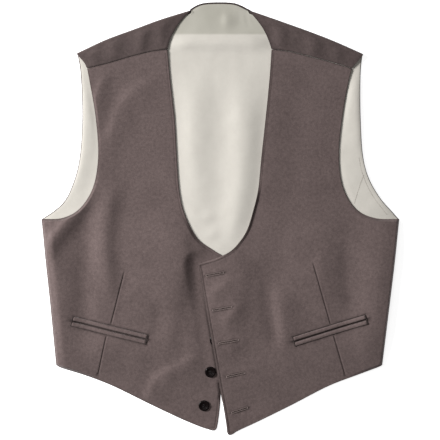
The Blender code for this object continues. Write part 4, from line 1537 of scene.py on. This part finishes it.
def set_stage():
    """The floor, the soft studio light and the camera straight above."""
    floor_mesh = bpy.data.meshes.new("floor")
    corners = ((-1, -1), (1, -1), (1, 1), (-1, 1))
    floor_mesh.from_pydata([(FLOOR_HALF * x, FLOOR_HALF * y, 0) for x, y in corners],
                           [], [(0, 1, 2, 3)])
    floor_mesh.materials.append(floor_finish("pale_floor"))
    floor = add_object("floor", floor_mesh)
    floor.location.z = -FLOOR_DROP

    world = bpy.data.worlds.new("room")
    world.use_nodes = True
    background = world.node_tree.nodes["Background"]
    background.inputs["Color"].default_value = (1.0, 1.0, 1.0, 1.0)
    background.inputs["Strength"].default_value = 0.13
    bpy.context.scene.world = world
    area_light("key", (-2.6, 0.92, 1.62), (0, 0, 0), 1.1, 168.0)
    area_light("overhead", (-0.11, -0.12, 0.66), (-0.11, -0.12, 0), 0.5, 0.9)

    camera_data = bpy.data.cameras.new("camera")
    camera_data.lens = LENS
    camera_data.sensor_width = SENSOR_WIDTH
    camera = add_object("camera", camera_data)
    camera.location = (0, CAMERA_SHIFT, PICTURE_SPAN * LENS / SENSOR_WIDTH + CAMERA_RISE)
    bpy.context.scene.camera = camera
    bpy.context.scene.view_settings.view_transform = "Standard"


def main():
    """Makes every piece, hides the parts of the model that it stands for, and sets the stage."""
    wool = wool_finish("taupe_wool")
    # The welts' wool is a lighter copy of the same wool: painted light on the raised welts.
    lit_welt_wool = wool_finish("taupe_wool_lit_welt", 1.12)
    satin = satin_finish("cream_satin")
    gloss = button_finish("polished_black")
    tonal = thread_finish("tonal_thread", 0.200, 0.155, 0.146)
    deep = thread_finish("deep_thread", 0.035, 0.026, 0.024)
    edge_thread = thread_finish("edge_thread", 0.080, 0.059, 0.055)
    satin_thread = thread_finish("satin_thread", 0.30, 0.265, 0.225)
    black = thread_finish("black_thread", 0.012, 0.010, 0.010)

    fronts = {side: Front(side) for side in SIDES}
    fronts["right"].other = fronts["left"]
    fronts["left"].other = fronts["right"]

    sewn = {}
    # The back's wool is a darker copy of the same wool: painted shade on the shoulder strips.
    back = make_back(wool_finish("taupe_wool_shaded_back", 0.70))
    lining = make_lining(satin)
    sewn[back] = ("wool", ["back"])
    sewn[lining] = ("satin", ["back_lining"])
    lining_stitches = make_threads("lining_seam_stitches", lining_seams(lining), 0.2,
                                   satin_thread, arch=0.08)
    sewn[lining_stitches] = ("satin", [])
    for side in SIDES:
        front = fronts[side]
        cloth = make_front(front, wool)
        sewn[cloth] = ("wool", [f"{side}_front"])
        details = []
        for welt, place in zip(make_welts(front, lit_welt_wool), ("upper", "lower")):
            sewn[welt] = ("wool", [f"{side}_pocket_{place}_welt"])
            details.append(welt)
        spans = edge_stitches(front, "front") + edge_stitches(front, "neck")
        details.append(make_threads(f"{side}_edge_stitches", spans, 0.16, edge_thread, arch=0.1))
        details.append(make_threads(f"{side}_pocket_tacks", pocket_tacks(front), 0.24, deep,
                                    arch=0.22))
        if side == "left":
            spans = []
            for hole in front.buttonholes:
                spans += buttonhole_threads(front, hole)
            details.append(make_threads("buttonhole_threads", spans, 0.3, tonal, arch=0.25))
        for detail in details:
            sewn.setdefault(detail, ("wool", []))
    for number, pair in enumerate(make_buttons(fronts["right"], gloss, black), start=1):
        button, thread = pair
        sewn[button] = ("button", [f"button_{number}"])
        sewn[thread] = ("wool", [])
    for piece, (slot, nodes) in sewn.items():
        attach(piece, "root")
        if nodes:
            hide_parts(*nodes)
    set_stage()


main()
